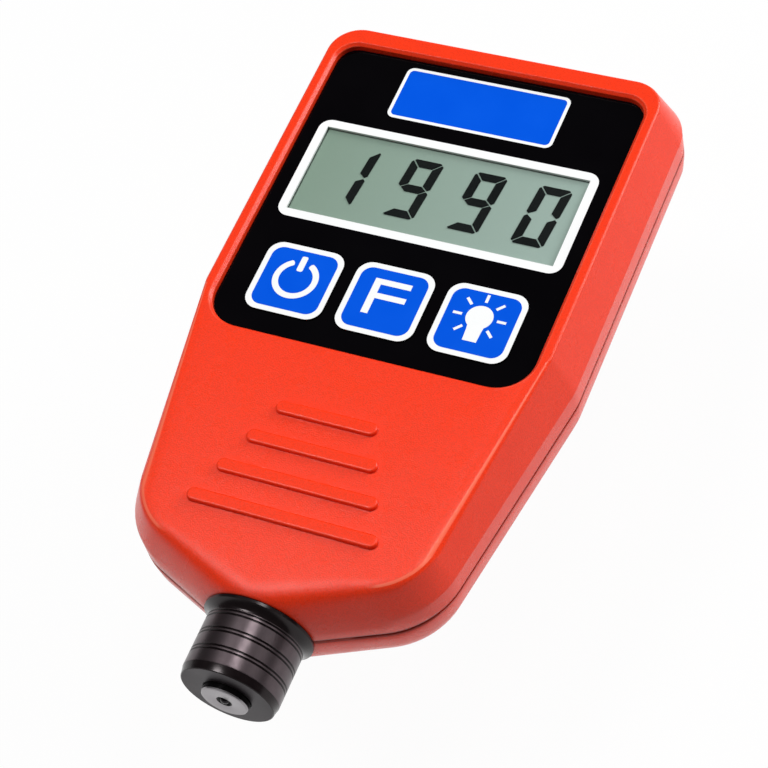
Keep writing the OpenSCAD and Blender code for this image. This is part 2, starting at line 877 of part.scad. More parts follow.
// Plate standing against an end of the bay, with a tab up to the circuit board
module contact_plate(x, y) {
    translate([x - contact_w / 2, y, plate_bottom])
        cube([contact_w, contact_t, bay_top - plate_bottom]);
    translate([x - tongue_w / 2, y, plate_bottom])
        cube([tongue_w, contact_t, board_z - seat - plate_bottom]);
}

module contact_positive() {
    color(steel)
        contact_plate(-cell_x, bay_y1 - seat - contact_t);
}

module contact_negative() {
    color(steel) {
        contact_plate(cell_x, bay_y1 - seat - contact_t);
        translate([cell_x, bay_y1 - seat - contact_t + contact_wire_r, cell_z])
            rotate([90, 0, 0])
                coil(contact_coil_r, contact_tip_r, spring_room - seat * 2 + contact_wire_r, 3, contact_wire_r);
    }
}

module contact_bridge() {
    color(steel) {
        translate([-cell_x - contact_w / 2, bay_y0 + seat, plate_bottom])
            cube([2 * cell_x + contact_w, contact_t, bay_top - plate_bottom]);
        translate([-cell_x, bay_y0 + seat + contact_t - contact_wire_r, cell_z])
            rotate([-90, 0, 0])
                coil(contact_coil_r, contact_tip_r, spring_room - seat * 2 + contact_wire_r, 3, contact_wire_r);
    }
}

// Pan-head screw pointing up, head below z = 0, with a cross recess
module screw(shank, head, head_h, len) {
    difference() {
        union() {
            translate([0, 0, -head_h])
                cylinder(r = head, h = head_h);
            cylinder(r = shank, h = len);
        }
        for (a = [0, 90])
            rotate([0, 0, a])
                translate([0, 0, -head_h])
                    cube([head * 1.2, head * 0.28, head_h], center = true);
    }
}

module board_screws() {
    color(steel)
        for (p = BOARD_SCREWS)
            translate([p[0], p[1], board_z - seat])
                screw(board_screw_r, board_head_r, board_head_h, plate_z - board_z - 2 * screw_end);
}

module housing_screws() {
    color("#2b2b2e")
        for (p = SCREWS)
            translate([p[0], p[1], screw_seat - seat])
                screw(screw_r, screw_head_r, screw_head_h, plate_z - screw_seat - 1 - screw_end);
}

// Profile of a pair of fine grooves around the barrel at distance s
function groove_pair(s) = [for (g = [-1, 1], e = [[-1, 0], [0, 1], [1, 0]])
    [barrel_r - groove_depth * e[1], s + g * groove_apart + groove_half * e[0]]];

// Hollow flare from the collar down to the barrel
function flare() = [for (i = [0 : 8])
    let (t = i / 8)
        [barrel_r + (collar_r - barrel_r) * pow(1 - t, 2), collar_edge + (collar_len - collar_edge) * t]];

module probe_barrel() {
    back = -neck_wall - seat;
    grooves = [for (i = [0 : 2], p = groove_pair(groove_from + i * groove_pitch)) p];
    color("#4a4547")
        on_probe()
            rotate_extrude($fn = 96)
                polygon(concat(
                    [[chamber_r, back - flange_t], [flange_r, back - flange_t], [flange_r, back], [shank_r, back],
                        [shank_r, seat], [collar_r, seat]],
                    flare(), grooves,
                    [[barrel_r, barrel_len - nose_len], [nose_r, barrel_len], [bore_r, barrel_len],
                        [bore_r, chamber_end], [chamber_r, chamber_end]]));
}

module probe_plug() {
    color(steel)
        on_probe()
            translate([0, 0, plug_face - plug_t])
                difference() {
                    cylinder(r = chamber_r - run, h = plug_t);
                    for (x = [-1, 1])
                        translate([x * lead_x, 0, -1])
                            cylinder(r = lead_r + fit, h = plug_t + 2);
                }
}

module probe_spring() {
    color(steel)
        on_probe()
            translate([0, 0, plug_face + seat])
                coil((tail_r + chamber_r) / 2, (tail_r + chamber_r) / 2, flange_back - plug_face - 2 * seat,
                    spring_turns, spring_wire_r);
}

module sensor_plunger() {
    color("#6d6a6b")
        on_probe()
            rotate_extrude($fn = 96)
                polygon([[coil_room_r, tail_end], [tail_r, tail_end], [tail_r, flange_back],
                    [chamber_r - run, flange_back], [chamber_r - run, flange_face], [plunger_r, flange_face],
                    [plunger_r, plunger_face - plunger_ease], [plunger_r - plunger_ease, plunger_face],
                    [ball_r + ball_sink, plunger_face], [ball_r + run, plunger_face - ball_sink_h],
                    [ball_r + run, ball_s - ball_r], [core_r + run, ball_s - ball_r],
                    [core_r + run, coil_front], [coil_room_r, coil_front]]);
}

module sensor_coil() {
    color("#b5682c")
        on_probe()
            translate([0, 0, coil_front - seat - coil_len])
                difference() {
                    cylinder(r = coil_room_r - run, h = coil_len);
                    translate([0, 0, -1])
                        cylinder(r = core_r + run, h = coil_len + 2);
                }
}

module sensor_core() {
    color("#3b3b40")
        on_probe()
            translate([0, 0, tail_end])
                cylinder(r = core_r, h = core_end - tail_end);
}

module contact_ball() {
    color("#d9dbde")
        on_probe()
            translate([0, 0, ball_s])
                sphere(r = ball_r);
}

module probe_leads() {
    color("#c23b2e")
        on_probe()
            for (x = [-1, 1])
                translate([x * lead_x, 0, -(socket_y - neck_y) + seat])
                    cylinder(r = lead_r, h = socket_y - neck_y + plug_face - 2 * seat);
}

front_shell();
rear_shell();
battery_door();
face_overlay();
display_window();
display_glass();
backlight_panel();
contact_strips();
circuit_board();
controller_chip();
probe_socket();
key_switches();
key_power();
key_function();
key_light();
cell_left();
cell_right();
contact_positive();
contact_negative();
contact_bridge();
board_screws();
housing_screws();
probe_barrel();
probe_plug();
probe_spring();
sensor_plunger();
sensor_coil();
sensor_core();
contact_ball();
probe_leads();
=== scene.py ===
"""Looks of a hand-held coating thickness gauge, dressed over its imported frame."""
import json
import logging
import math
from dataclasses import dataclass, field
from enum import Enum
from typing import Any, Callable, Dict, List, Optional, Sequence, Tuple

import bmesh
import bpy
from mathutils import Matrix, Vector


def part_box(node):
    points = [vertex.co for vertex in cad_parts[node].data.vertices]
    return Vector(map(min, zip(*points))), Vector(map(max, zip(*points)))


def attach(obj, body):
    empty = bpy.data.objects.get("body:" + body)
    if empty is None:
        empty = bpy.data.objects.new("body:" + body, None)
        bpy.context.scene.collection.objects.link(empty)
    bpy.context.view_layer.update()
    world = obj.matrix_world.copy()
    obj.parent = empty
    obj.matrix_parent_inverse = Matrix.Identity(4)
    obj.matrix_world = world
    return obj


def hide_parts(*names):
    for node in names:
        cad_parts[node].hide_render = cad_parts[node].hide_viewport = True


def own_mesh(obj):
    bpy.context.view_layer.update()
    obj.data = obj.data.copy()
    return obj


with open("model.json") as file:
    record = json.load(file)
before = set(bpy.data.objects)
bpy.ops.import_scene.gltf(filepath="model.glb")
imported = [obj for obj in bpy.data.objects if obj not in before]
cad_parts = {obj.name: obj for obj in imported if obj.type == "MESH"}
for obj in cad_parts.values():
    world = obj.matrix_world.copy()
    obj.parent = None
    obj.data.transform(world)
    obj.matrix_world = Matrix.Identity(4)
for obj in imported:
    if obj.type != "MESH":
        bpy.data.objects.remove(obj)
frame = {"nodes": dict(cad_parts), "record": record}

LOG = logging.getLogger("gauge")
MM = 0.001
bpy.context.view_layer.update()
MADE: Dict[str, bpy.types.Material] = {}

Point2 = Tuple[float, float]
Point3 = Tuple[float, float, float]
Colour = Tuple[float, float, float]


class Slot(Enum):
    """Material slots of the record."""

    HOUSING = "housing_red"
    PANEL = "panel_black"
    WINDOW = "window_clear"
    LCD = "lcd_glass"
    KEY = "key_blue"
    CONTACT = "contact_steel"
    SCREW = "screw_black"
    BARREL = "barrel_anodised"
    PLUNGER = "plunger_metal"
    BALL = "ball_steel"


class Body(Enum):
    """Rigid bodies of the frame."""

    HOUSING = "housing"
    DOOR = "door"
    POWER = "power"
    FUNCTION = "function"
    LIGHT = "light"
    PLUNGER = "plunger"


class Symbol(Enum):
    """Symbols printed on the keys."""

    POWER = "power"
    FUNCTION = "function"
    LIGHT = "light"


def srgb(r: int, g: int, b: int) -> Colour:
    """Turns a screen colour into a linear one.

    Args:
        r: red, 0 to 255.
        g: green, 0 to 255.
        b: blue, 0 to 255.

    Returns:
        The linear colour.
    """
    def channel(c: float) -> float:
        """One channel, 0 to 1."""
        return c / 12.92 if c <= 0.04045 else ((c + 0.055) / 1.055) ** 2.4
    return (channel(r / 255), channel(g / 255), channel(b / 255))


class ShaderKit:
    """Node groups that several finishes share."""

    groups: Dict[str, bpy.types.NodeTree] = {}
    PIT_SHARE = 0.35
    FINE_ROUGHNESS = 0.6
    ALONG_Y = (0.01, 1.0, 0.01)
    BROAD_SCALE = 700

    @staticmethod
    def socket(tree: bpy.types.NodeTree, label: str, way: str, value: Optional[float] = None) -> None:
        """Adds a named number to a group.

        Args:
            tree: the group.
            label: name of the socket.
            way: INPUT or OUTPUT.
            value: its value where a material sets none.
        """
        made = tree.interface.new_socket(label, in_out=way, socket_type="NodeSocketFloat")
        if value is not None:
            made.default_value = value

    @classmethod
    def grain(cls) -> bpy.types.NodeTree:
        """Moulded spark grain.

        Returns:
            A group that gives a bump height and a tone that changes slowly over the surface.
        """
        if "moulded_grain" in cls.groups:
            return cls.groups["moulded_grain"]
        tree = bpy.data.node_groups.new("moulded_grain", "ShaderNodeTree")
        cls.socket(tree, "Fine Scale", "INPUT", 5200)
        cls.socket(tree, "Cloud Scale", "INPUT", 90)
        cls.socket(tree, "Height", "OUTPUT")
        cls.socket(tree, "Tone", "OUTPUT")
        n, l = tree.nodes, tree.links
        gin, gout = n.new("NodeGroupInput"), n.new("NodeGroupOutput")
        place = n.new("ShaderNodeTexCoord")
        fine = n.new("ShaderNodeTexNoise")
        fine.inputs["Detail"].default_value = 3
        fine.inputs["Roughness"].default_value = cls.FINE_ROUGHNESS
        cell = n.new("ShaderNodeTexVoronoi")
        blend = n.new("ShaderNodeMath")
        blend.operation = "MULTIPLY_ADD"
        blend.inputs[1].default_value = cls.PIT_SHARE
        cloud = n.new("ShaderNodeTexNoise")
        cloud.inputs["Detail"].default_value = 2
        for node in (fine, cell, cloud):
            l.new(place.outputs["Object"], node.inputs["Vector"])
        l.new(gin.outputs["Fine Scale"], fine.inputs["Scale"])
        l.new(gin.outputs["Fine Scale"], cell.inputs["Scale"])
        l.new(gin.outputs["Cloud Scale"], cloud.inputs["Scale"])
        l.new(cell.outputs["Distance"], blend.inputs[0])
        l.new(fine.outputs["Fac"], blend.inputs[2])
        l.new(blend.outputs[0], gout.inputs["Height"])
        l.new(cloud.outputs["Fac"], gout.inputs["Tone"])
        cls.groups["moulded_grain"] = tree
        return tree

    @classmethod
    def turning(cls) -> bpy.types.NodeTree:
        """Fine turning lines round the probe axis.

        Returns:
            A group that gives a bump height and a line mask along Y.
        """
        if "turning_lines" in cls.groups:
            return cls.groups["turning_lines"]
        tree = bpy.data.node_groups.new("turning_lines", "ShaderNodeTree")
        cls.socket(tree, "Scale", "INPUT", 9000)
        cls.socket(tree, "Height", "OUTPUT")
        cls.socket(tree, "Line", "OUTPUT")
        n, l = tree.nodes, tree.links
        gin, gout = n.new("NodeGroupInput"), n.new("NodeGroupOutput")
        place = n.new("ShaderNodeTexCoord")
        squeeze = n.new("ShaderNodeMapping")
        squeeze.inputs["Scale"].default_value = cls.ALONG_Y
        lines = n.new("ShaderNodeTexNoise")
        lines.inputs["Detail"].default_value = 2
        broad = n.new("ShaderNodeTexNoise")
        broad.inputs["Scale"].default_value = cls.BROAD_SCALE
        l.new(place.outputs["Object"], squeeze.inputs["Vector"])
        l.new(squeeze.outputs["Vector"], lines.inputs["Vector"])
        l.new(place.outputs["Object"], broad.inputs["Vector"])
        l.new(gin.outputs["Scale"], lines.inputs["Scale"])
        l.new(lines.outputs["Fac"], gout.inputs["Height"])
        l.new(broad.outputs["Fac"], gout.inputs["Line"])
        cls.groups["turning_lines"] = tree
        return tree


@dataclass(frozen=True)
class Finish:
    """A surface finish, made once as a material.

    Attributes:
        name: material name.
        colour: linear base colour.
        colour_b: second tone that the slow variation mixes in.
        rough: lowest roughness.
        rough_b: highest roughness.
        metallic: metallic value.
        bump: bump strength.
        depth_mm: bump depth.
        grain_mm: size of the grain.
        cloud_mm: size of the slow variation.
        turned: whether turning lines stand in for the grain.
        alpha: opacity.
        coat: clear coat weight.
        specular: specular level.
        edge_mm: radius that the shading gives to sharp edges.
        edge_low_mm: that radius round the probe neck.
        crease_highlight_tone: colour of the painted highlight along the creases of the flanks.
        speck: how much the pits of the grain darken the colour.
        seam_mm: lowest and highest point of the reveal along the parting line, which gets a painted shade.
        fade_mm: where across the piece the second tone starts and ends, in place of the slow variation.
    """

    name: str
    colour: Colour
    colour_b: Colour
    rough: float = 0.4
    rough_b: float = 0.5
    metallic: float = 0.0
    bump: float = 0.1
    depth_mm: float = 0.02
    grain_mm: float = 0.2
    cloud_mm: float = 11.0
    turned: bool = False
    alpha: float = 1.0
    coat: float = 0.0
    specular: float = 0.5
    edge_mm: float = 0.0
    edge_low_mm: float = 0.0
    crease_highlight_tone: Colour = (1.0, 1.0, 1.0)
    speck: float = 0.0
    seam_mm: Point2 = (0.0, 0.0)
    fade_mm: Point2 = (0.0, 0.0)

    # Levels of the noise between which the tones and the roughness spread.
    TONE_LEVELS = (0.3, 0.7)
    # Where along the gauge the edge radius starts to grow towards the neck and where it is full.
    NECK_MM = (-37, -42)
    EDGE_SAMPLES = 6
    # Height of the grain where a pit starts and where it is darkest, and how much colour is left there.
    PIT_LEVELS = (0.78, 0.5)
    PIT_SHADE = 0.72
    # How much the painted shade in the reveal covers, and how much colour is left there.
    SEAM_COVER = 0.85
    SEAM_SHADE = 0.5
    # For the painted crease highlight: radius that finds a crease, and how far the eased normal then turns from
    # the plain one.
    CREASE_MM = 0.35
    CREASE_SAMPLES = 4
    CREASE_TURN = (0.98, 0.88)
    # Upward tilt of the surface where a rolled edge starts and where it ends.
    ROLL_START = (0.995, 0.975)
    ROLL_END = (0.84, 0.9)
    # Sideways tilt and distance from the middle that tell a flank from the ends.
    SIDE_TILT = (0.1, 0.2)
    FLANK_MM = (16, 18)

    def material(self) -> bpy.types.Material:
        """Makes the material, or returns the one already made.

        Returns:
            The material.
        """
        if self.name in MADE:
            return MADE[self.name]
        mat = MADE[self.name] = bpy.data.materials.new("finish_" + self.name)
        mat.use_nodes = True
        tree = mat.node_tree
        n, l = tree.nodes, tree.links
        bsdf = next(x for x in n if x.type == "BSDF_PRINCIPLED")
        group = n.new("ShaderNodeGroup")
        if self.turned:
            group.node_tree = ShaderKit.turning()
            group.inputs["Scale"].default_value = 1000 / self.grain_mm
            tone_out = group.outputs["Line"]
        else:
            group.node_tree = ShaderKit.grain()
            group.inputs["Fine Scale"].default_value = 1000 / self.grain_mm
            group.inputs["Cloud Scale"].default_value = 1000 / self.cloud_mm
            tone_out = group.outputs["Tone"]
        ramp = n.new("ShaderNodeMapRange")
        ramp.inputs["From Min"].default_value, ramp.inputs["From Max"].default_value = self.TONE_LEVELS
        if self.fade_mm[0] == self.fade_mm[1]:
            l.new(tone_out, ramp.inputs["Value"])
        else:
            place, axes = n.new("ShaderNodeTexCoord"), n.new("ShaderNodeSeparateXYZ")
            ramp.inputs["From Min"].default_value = self.fade_mm[0] * MM
            ramp.inputs["From Max"].default_value = self.fade_mm[1] * MM
            l.new(place.outputs["Object"], axes.inputs[0])
            l.new(axes.outputs["X"], ramp.inputs["Value"])
        mix = n.new("ShaderNodeMix")
        mix.data_type = "RGBA"
        mix.inputs[6].default_value = (*self.colour, 1)
        mix.inputs[7].default_value = (*self.colour_b, 1)
        l.new(ramp.outputs["Result"], mix.inputs[0])
        colour = mix.outputs[2]
        if self.speck > 0:
            colour = self.pitted(tree, colour, group.outputs["Height"])
        # Painted highlight along the creases of the flanks.
        colour = self.painted_crease_highlight(tree, colour)
        # Painted shade in the reveal along the parting line.
        if self.seam_mm[1] > self.seam_mm[0]:
            colour = self.painted_seam_shade(tree, colour)
        l.new(colour, bsdf.inputs["Base Color"])
        rough = n.new("ShaderNodeMapRange")
        rough.inputs["From Min"].default_value, rough.inputs["From Max"].default_value = self.TONE_LEVELS
        rough.inputs["To Min"].default_value = self.rough
        rough.inputs["To Max"].default_value = self.rough_b
        l.new(tone_out, rough.inputs["Value"])
        l.new(rough.outputs["Result"], bsdf.inputs["Roughness"])
        bump = n.new("ShaderNodeBump")
        bump.inputs["Strength"].default_value = self.bump
        bump.inputs["Distance"].default_value = self.depth_mm * MM
        l.new(group.outputs["Height"], bump.inputs["Height"])
        if self.edge_mm > 0:
            edge = n.new("ShaderNodeBevel")
            edge.samples = self.EDGE_SAMPLES
            place, axes, soft = (n.new("ShaderNode" + k) for k in ("TexCoord", "SeparateXYZ", "MapRange"))
            for label, value in (("From Min", self.NECK_MM[0]), ("From Max", self.NECK_MM[1]),
                                 ("To Min", self.edge_mm), ("To Max", self.edge_low_mm)):
                soft.inputs[label].default_value = value * MM
            l.new(place.outputs["Object"], axes.inputs[0])
            l.new(axes.outputs["Y"], soft.inputs["Value"])
            l.new(soft.outputs["Result"], edge.inputs["Radius"])
            l.new(edge.outputs["Normal"], bump.inputs["Normal"])
        l.new(bump.outputs["Normal"], bsdf.inputs["Normal"])
        bsdf.inputs["Metallic"].default_value = self.metallic
        bsdf.inputs["Alpha"].default_value = self.alpha
        bsdf.inputs["Coat Weight"].default_value = self.coat
        bsdf.inputs["Specular IOR Level"].default_value = self.specular
        return mat

    def pitted(self, tree: bpy.types.NodeTree, colour: bpy.types.NodeSocket,
               height: bpy.types.NodeSocket) -> bpy.types.NodeSocket:
        """Darkens the colour in the pits of the grain.

        Args:
            tree: the material's tree.
            colour: the colour so far.
            height: height of the grain.

        Returns:
            The colour with its pits.
        """
        span, mix = tree.nodes.new("ShaderNodeMapRange"), tree.nodes.new("ShaderNodeMix")
        mix.data_type = "RGBA"
        for label, value in (("From Min", self.PIT_LEVELS[0]), ("From Max", self.PIT_LEVELS[1]),
                             ("To Min", 0.0), ("To Max", self.speck)):
            span.inputs[label].default_value = value
        tree.links.new(height, span.inputs["Value"])
        tree.links.new(span.outputs["Result"], mix.inputs[0])
        tree.links.new(colour, mix.inputs[6])
        mix.inputs[7].default_value = (*(c * self.PIT_SHADE for c in self.colour), 1)
        return mix.outputs[2]

    def painted_seam_shade(self, tree: bpy.types.NodeTree, colour: bpy.types.NodeSocket) -> bpy.types.NodeSocket:
        """Paints shade into the reveal along the parting line.

        Args:
            tree: the material's tree.
            colour: the colour so far.

        Returns:
            The colour with its dark reveal.
        """
        n, l = tree.nodes, tree.links
        place, axes, away, span, mix = (n.new("ShaderNode" + k) for k in (
            "TexCoord", "SeparateXYZ", "Math", "MapRange", "Mix"))
        middle, half = sum(self.seam_mm) / 2 * MM, (self.seam_mm[1] - self.seam_mm[0]) / 2 * MM
        away.operation = "COMPARE"
        away.inputs[1].default_value = middle
        away.inputs[2].default_value = half
        mix.data_type = "RGBA"
        span.inputs["To Max"].default_value = self.SEAM_COVER
        l.new(place.outputs["Object"], axes.inputs[0])
        l.new(axes.outputs["Z"], away.inputs[0])
        l.new(away.outputs[0], span.inputs["Value"])
        l.new(span.outputs["Result"], mix.inputs[0])
        l.new(colour, mix.inputs[6])
        mix.inputs[7].default_value = (*(c * self.SEAM_SHADE for c in self.colour), 1)
        return mix.outputs[2]

    def painted_crease_highlight(self, tree: bpy.types.NodeTree, colour: bpy.types.NodeSocket) -> bpy.types.NodeSocket:
        """Paints a highlight into the colour along the creases of the flanks, where the finish has an edge
        radius.

        Args:
            tree: the material's tree.
            colour: the colour so far.

        Returns:
            The colour with its edges.
        """
        if self.edge_mm <= 0:
            return colour
        n, l = tree.nodes, tree.links

        def ramp(value: bpy.types.NodeSocket, low: float, high: float) -> bpy.types.NodeSocket:
            """Maps a value to 0 at the low level and 1 at the high one.

            Args:
                value: the value.
                low: level that gives 0.
                high: level that gives 1.

            Returns:
                The mapped value.
            """
            node = n.new("ShaderNodeMapRange")
            node.inputs["From Min"].default_value = low
            node.inputs["From Max"].default_value = high
            l.new(value, node.inputs["Value"])
            return node.outputs["Result"]

        def math_of(kind: str, *values: bpy.types.NodeSocket) -> bpy.types.NodeSocket:
            """Joins one or two values with a Math node.

            Args:
                kind: the node's operation.
                values: the values that go in.

            Returns:
                The value that comes out.
            """
            node = n.new("ShaderNodeMath")
            node.operation = kind
            for value, socket in zip(values, node.inputs):
                l.new(value, socket)
            return node.outputs[0]

        edge, plain, dot, mix, place, axes, facing, eased = (n.new("ShaderNode" + k) for k in (
            "Bevel", "NewGeometry", "VectorMath", "Mix", "TexCoord", *["SeparateXYZ"] * 3))
        edge.samples = self.CREASE_SAMPLES
        edge.inputs["Radius"].default_value = self.CREASE_MM * MM
        dot.operation = "DOT_PRODUCT"
        mix.data_type = "RGBA"
        l.new(edge.outputs["Normal"], dot.inputs[0])
        l.new(plain.outputs["Normal"], dot.inputs[1])
        l.new(place.outputs["Object"], axes.inputs[0])
        l.new(plain.outputs["Normal"], facing.inputs[0])
        l.new(edge.outputs["Normal"], eased.inputs[0])
        sharp = ramp(dot.outputs["Value"], *self.CREASE_TURN)
        steep = facing.outputs["Z"]
        rolled = math_of("MULTIPLY", ramp(steep, *self.ROLL_START), ramp(steep, *self.ROLL_END))
        sideways = ramp(math_of("ABSOLUTE", eased.outputs["X"]), *self.SIDE_TILT)
        outer = ramp(math_of("ABSOLUTE", axes.outputs["X"]), *(v * MM for v in self.FLANK_MM))
        line = math_of("MULTIPLY", math_of("MAXIMUM", sharp, rolled), math_of("MULTIPLY", sideways, outer))
        l.new(line, mix.inputs[0])
        l.new(colour, mix.inputs[6])
        mix.inputs[7].default_value = (*self.crease_highlight_tone, 1)
        return mix.outputs[2]


# The housing's crease tone is a painted highlight, and its seam range paints shade into the parting-line
# reveal.
HOUSING = Finish("housing_red", srgb(255, 60, 23), srgb(253, 57, 21), 0.26, 0.3, bump=0.5, depth_mm=0.06,
                 grain_mm=0.22, cloud_mm=4.0, specular=0.3, edge_mm=0.22, edge_low_mm=3.0,
                 crease_highlight_tone=srgb(255, 112, 84), speck=0.6, seam_mm=(9.15, 10.2))
PANEL = Finish("panel_gloss_black", srgb(2, 1, 3), srgb(4, 3, 5), 0.08, 0.1, bump=0.02, depth_mm=0.01,
               grain_mm=0.5, specular=0.13)
PRINT_WHITE = Finish("print_white", srgb(248, 249, 249), srgb(244, 246, 246), 0.3, 0.36, bump=0.02,
                     depth_mm=0.01, specular=0.2)
PRINT_BLUE = Finish("print_blue", srgb(0, 84, 220), srgb(0, 87, 223), 0.3, 0.38, bump=0.03, depth_mm=0.01,
                    cloud_mm=7.0, specular=0.06)
KEY_SIDE = Finish("key_body_black", srgb(6, 5, 7), srgb(10, 9, 11), 0.35, 0.42, bump=0.03, specular=0.2)
WINDOW = Finish("window_clear", srgb(18, 20, 19), srgb(22, 24, 23), 0.05, 0.07, bump=0.0, alpha=0.06)
# The display's tone fades from left to right: painted shade, darker towards the left.
LCD_BACK = Finish("display_grey_green", srgb(146, 171, 154), srgb(173, 196, 186), 0.4, 0.48, bump=0.03,
                  depth_mm=0.01, grain_mm=0.12, cloud_mm=9.0, specular=0.2, fade_mm=(-22.0, 22.0))
LCD_WALL = Finish("display_opening", srgb(214, 222, 218), srgb(206, 214, 210), 0.5, 0.58, bump=0.05,
                  specular=0.2)
LCD_DARK = Finish("display_segment", srgb(18, 22, 22), srgb(24, 28, 28), 0.35, 0.42, bump=0.02, specular=0.08)
LCD_CLEAR = Finish("display_clear", srgb(60, 66, 62), srgb(64, 70, 66), 0.08, 0.1, bump=0.0, alpha=0.02)
BARREL = Finish("barrel_anodised", srgb(92, 82, 85), srgb(84, 75, 78), 0.3, 0.35, metallic=1.0, bump=0.22,
                depth_mm=0.012, grain_mm=0.09, turned=True)
COLLAR = Finish("collar_black", srgb(22, 13, 15), srgb(30, 20, 22), 0.2, 0.27, metallic=0.5, bump=0.15,
                depth_mm=0.01, grain_mm=0.09, turned=True)
NOSE = Finish("barrel_front", srgb(48, 41, 45), srgb(40, 34, 38), 0.36, 0.44, metallic=0.6, bump=0.2,
              depth_mm=0.012, grain_mm=0.12, specular=0.2)
PLUNGER_SIDE = Finish("plunger_side", srgb(34, 31, 33), srgb(42, 39, 41), 0.12, 0.18, metallic=0.8, bump=0.08,
                      depth_mm=0.008, grain_mm=0.1, turned=True)
PLUNGER_FACE = Finish("plunger_face", srgb(156, 152, 155), srgb(142, 138, 141), 0.3, 0.38, metallic=0.8,
                      bump=0.12, depth_mm=0.008, grain_mm=0.15)
# The recess and the tip ball are darkened almost to black: painted shade in the hole.
RECESS_PAINTED_SHADE = Finish("plunger_recess", srgb(10, 8, 9), srgb(16, 13, 15), 0.4, 0.5, metallic=0.3, bump=0.2)
BALL = Finish("tip_steel", srgb(40, 37, 39), srgb(34, 31, 33), 0.12, 0.18, metallic=1.0, bump=0.05)
STEEL = Finish("nickel_steel", srgb(196, 197, 198), srgb(180, 181, 183), 0.25, 0.34, metallic=1.0, bump=0.08,
               depth_mm=0.01)
SCREW = Finish("screw_black", srgb(44, 44, 46), srgb(60, 60, 62), 0.35, 0.45, metallic=0.7, bump=0.15,
               depth_mm=0.02)
CELL = Finish("cell_wrap", srgb(46, 92, 150), srgb(40, 84, 142), 0.28, 0.34, bump=0.03, coat=0.3)
BOARD = Finish("board_green", srgb(30, 104, 60), srgb(22, 88, 50), 0.35, 0.45, bump=0.1)
CHIP = Finish("chip_black", srgb(30, 30, 32), srgb(40, 40, 42), 0.5, 0.6, bump=0.15)
CREAM = Finish("socket_cream", srgb(230, 224, 208), srgb(222, 214, 198), 0.4, 0.5, bump=0.08)
STRIP = Finish("strip_rubber", srgb(214, 150, 160), srgb(204, 140, 150), 0.6, 0.7, bump=0.1)
DIFFUSER = Finish("diffuser_white", srgb(236, 240, 236), srgb(228, 233, 229), 0.4, 0.5, bump=0.05)
COPPER = Finish("coil_copper", srgb(186, 108, 56), srgb(164, 92, 46), 0.3, 0.4, metallic=0.9, bump=0.3,
                grain_mm=0.12, turned=True)
FERRITE = Finish("core_ferrite", srgb(58, 58, 62), srgb(48, 48, 52), 0.5, 0.6, bump=0.15)
LEAD = Finish("lead_red", srgb(160, 34, 28), srgb(148, 28, 24), 0.45, 0.55, bump=0.08)


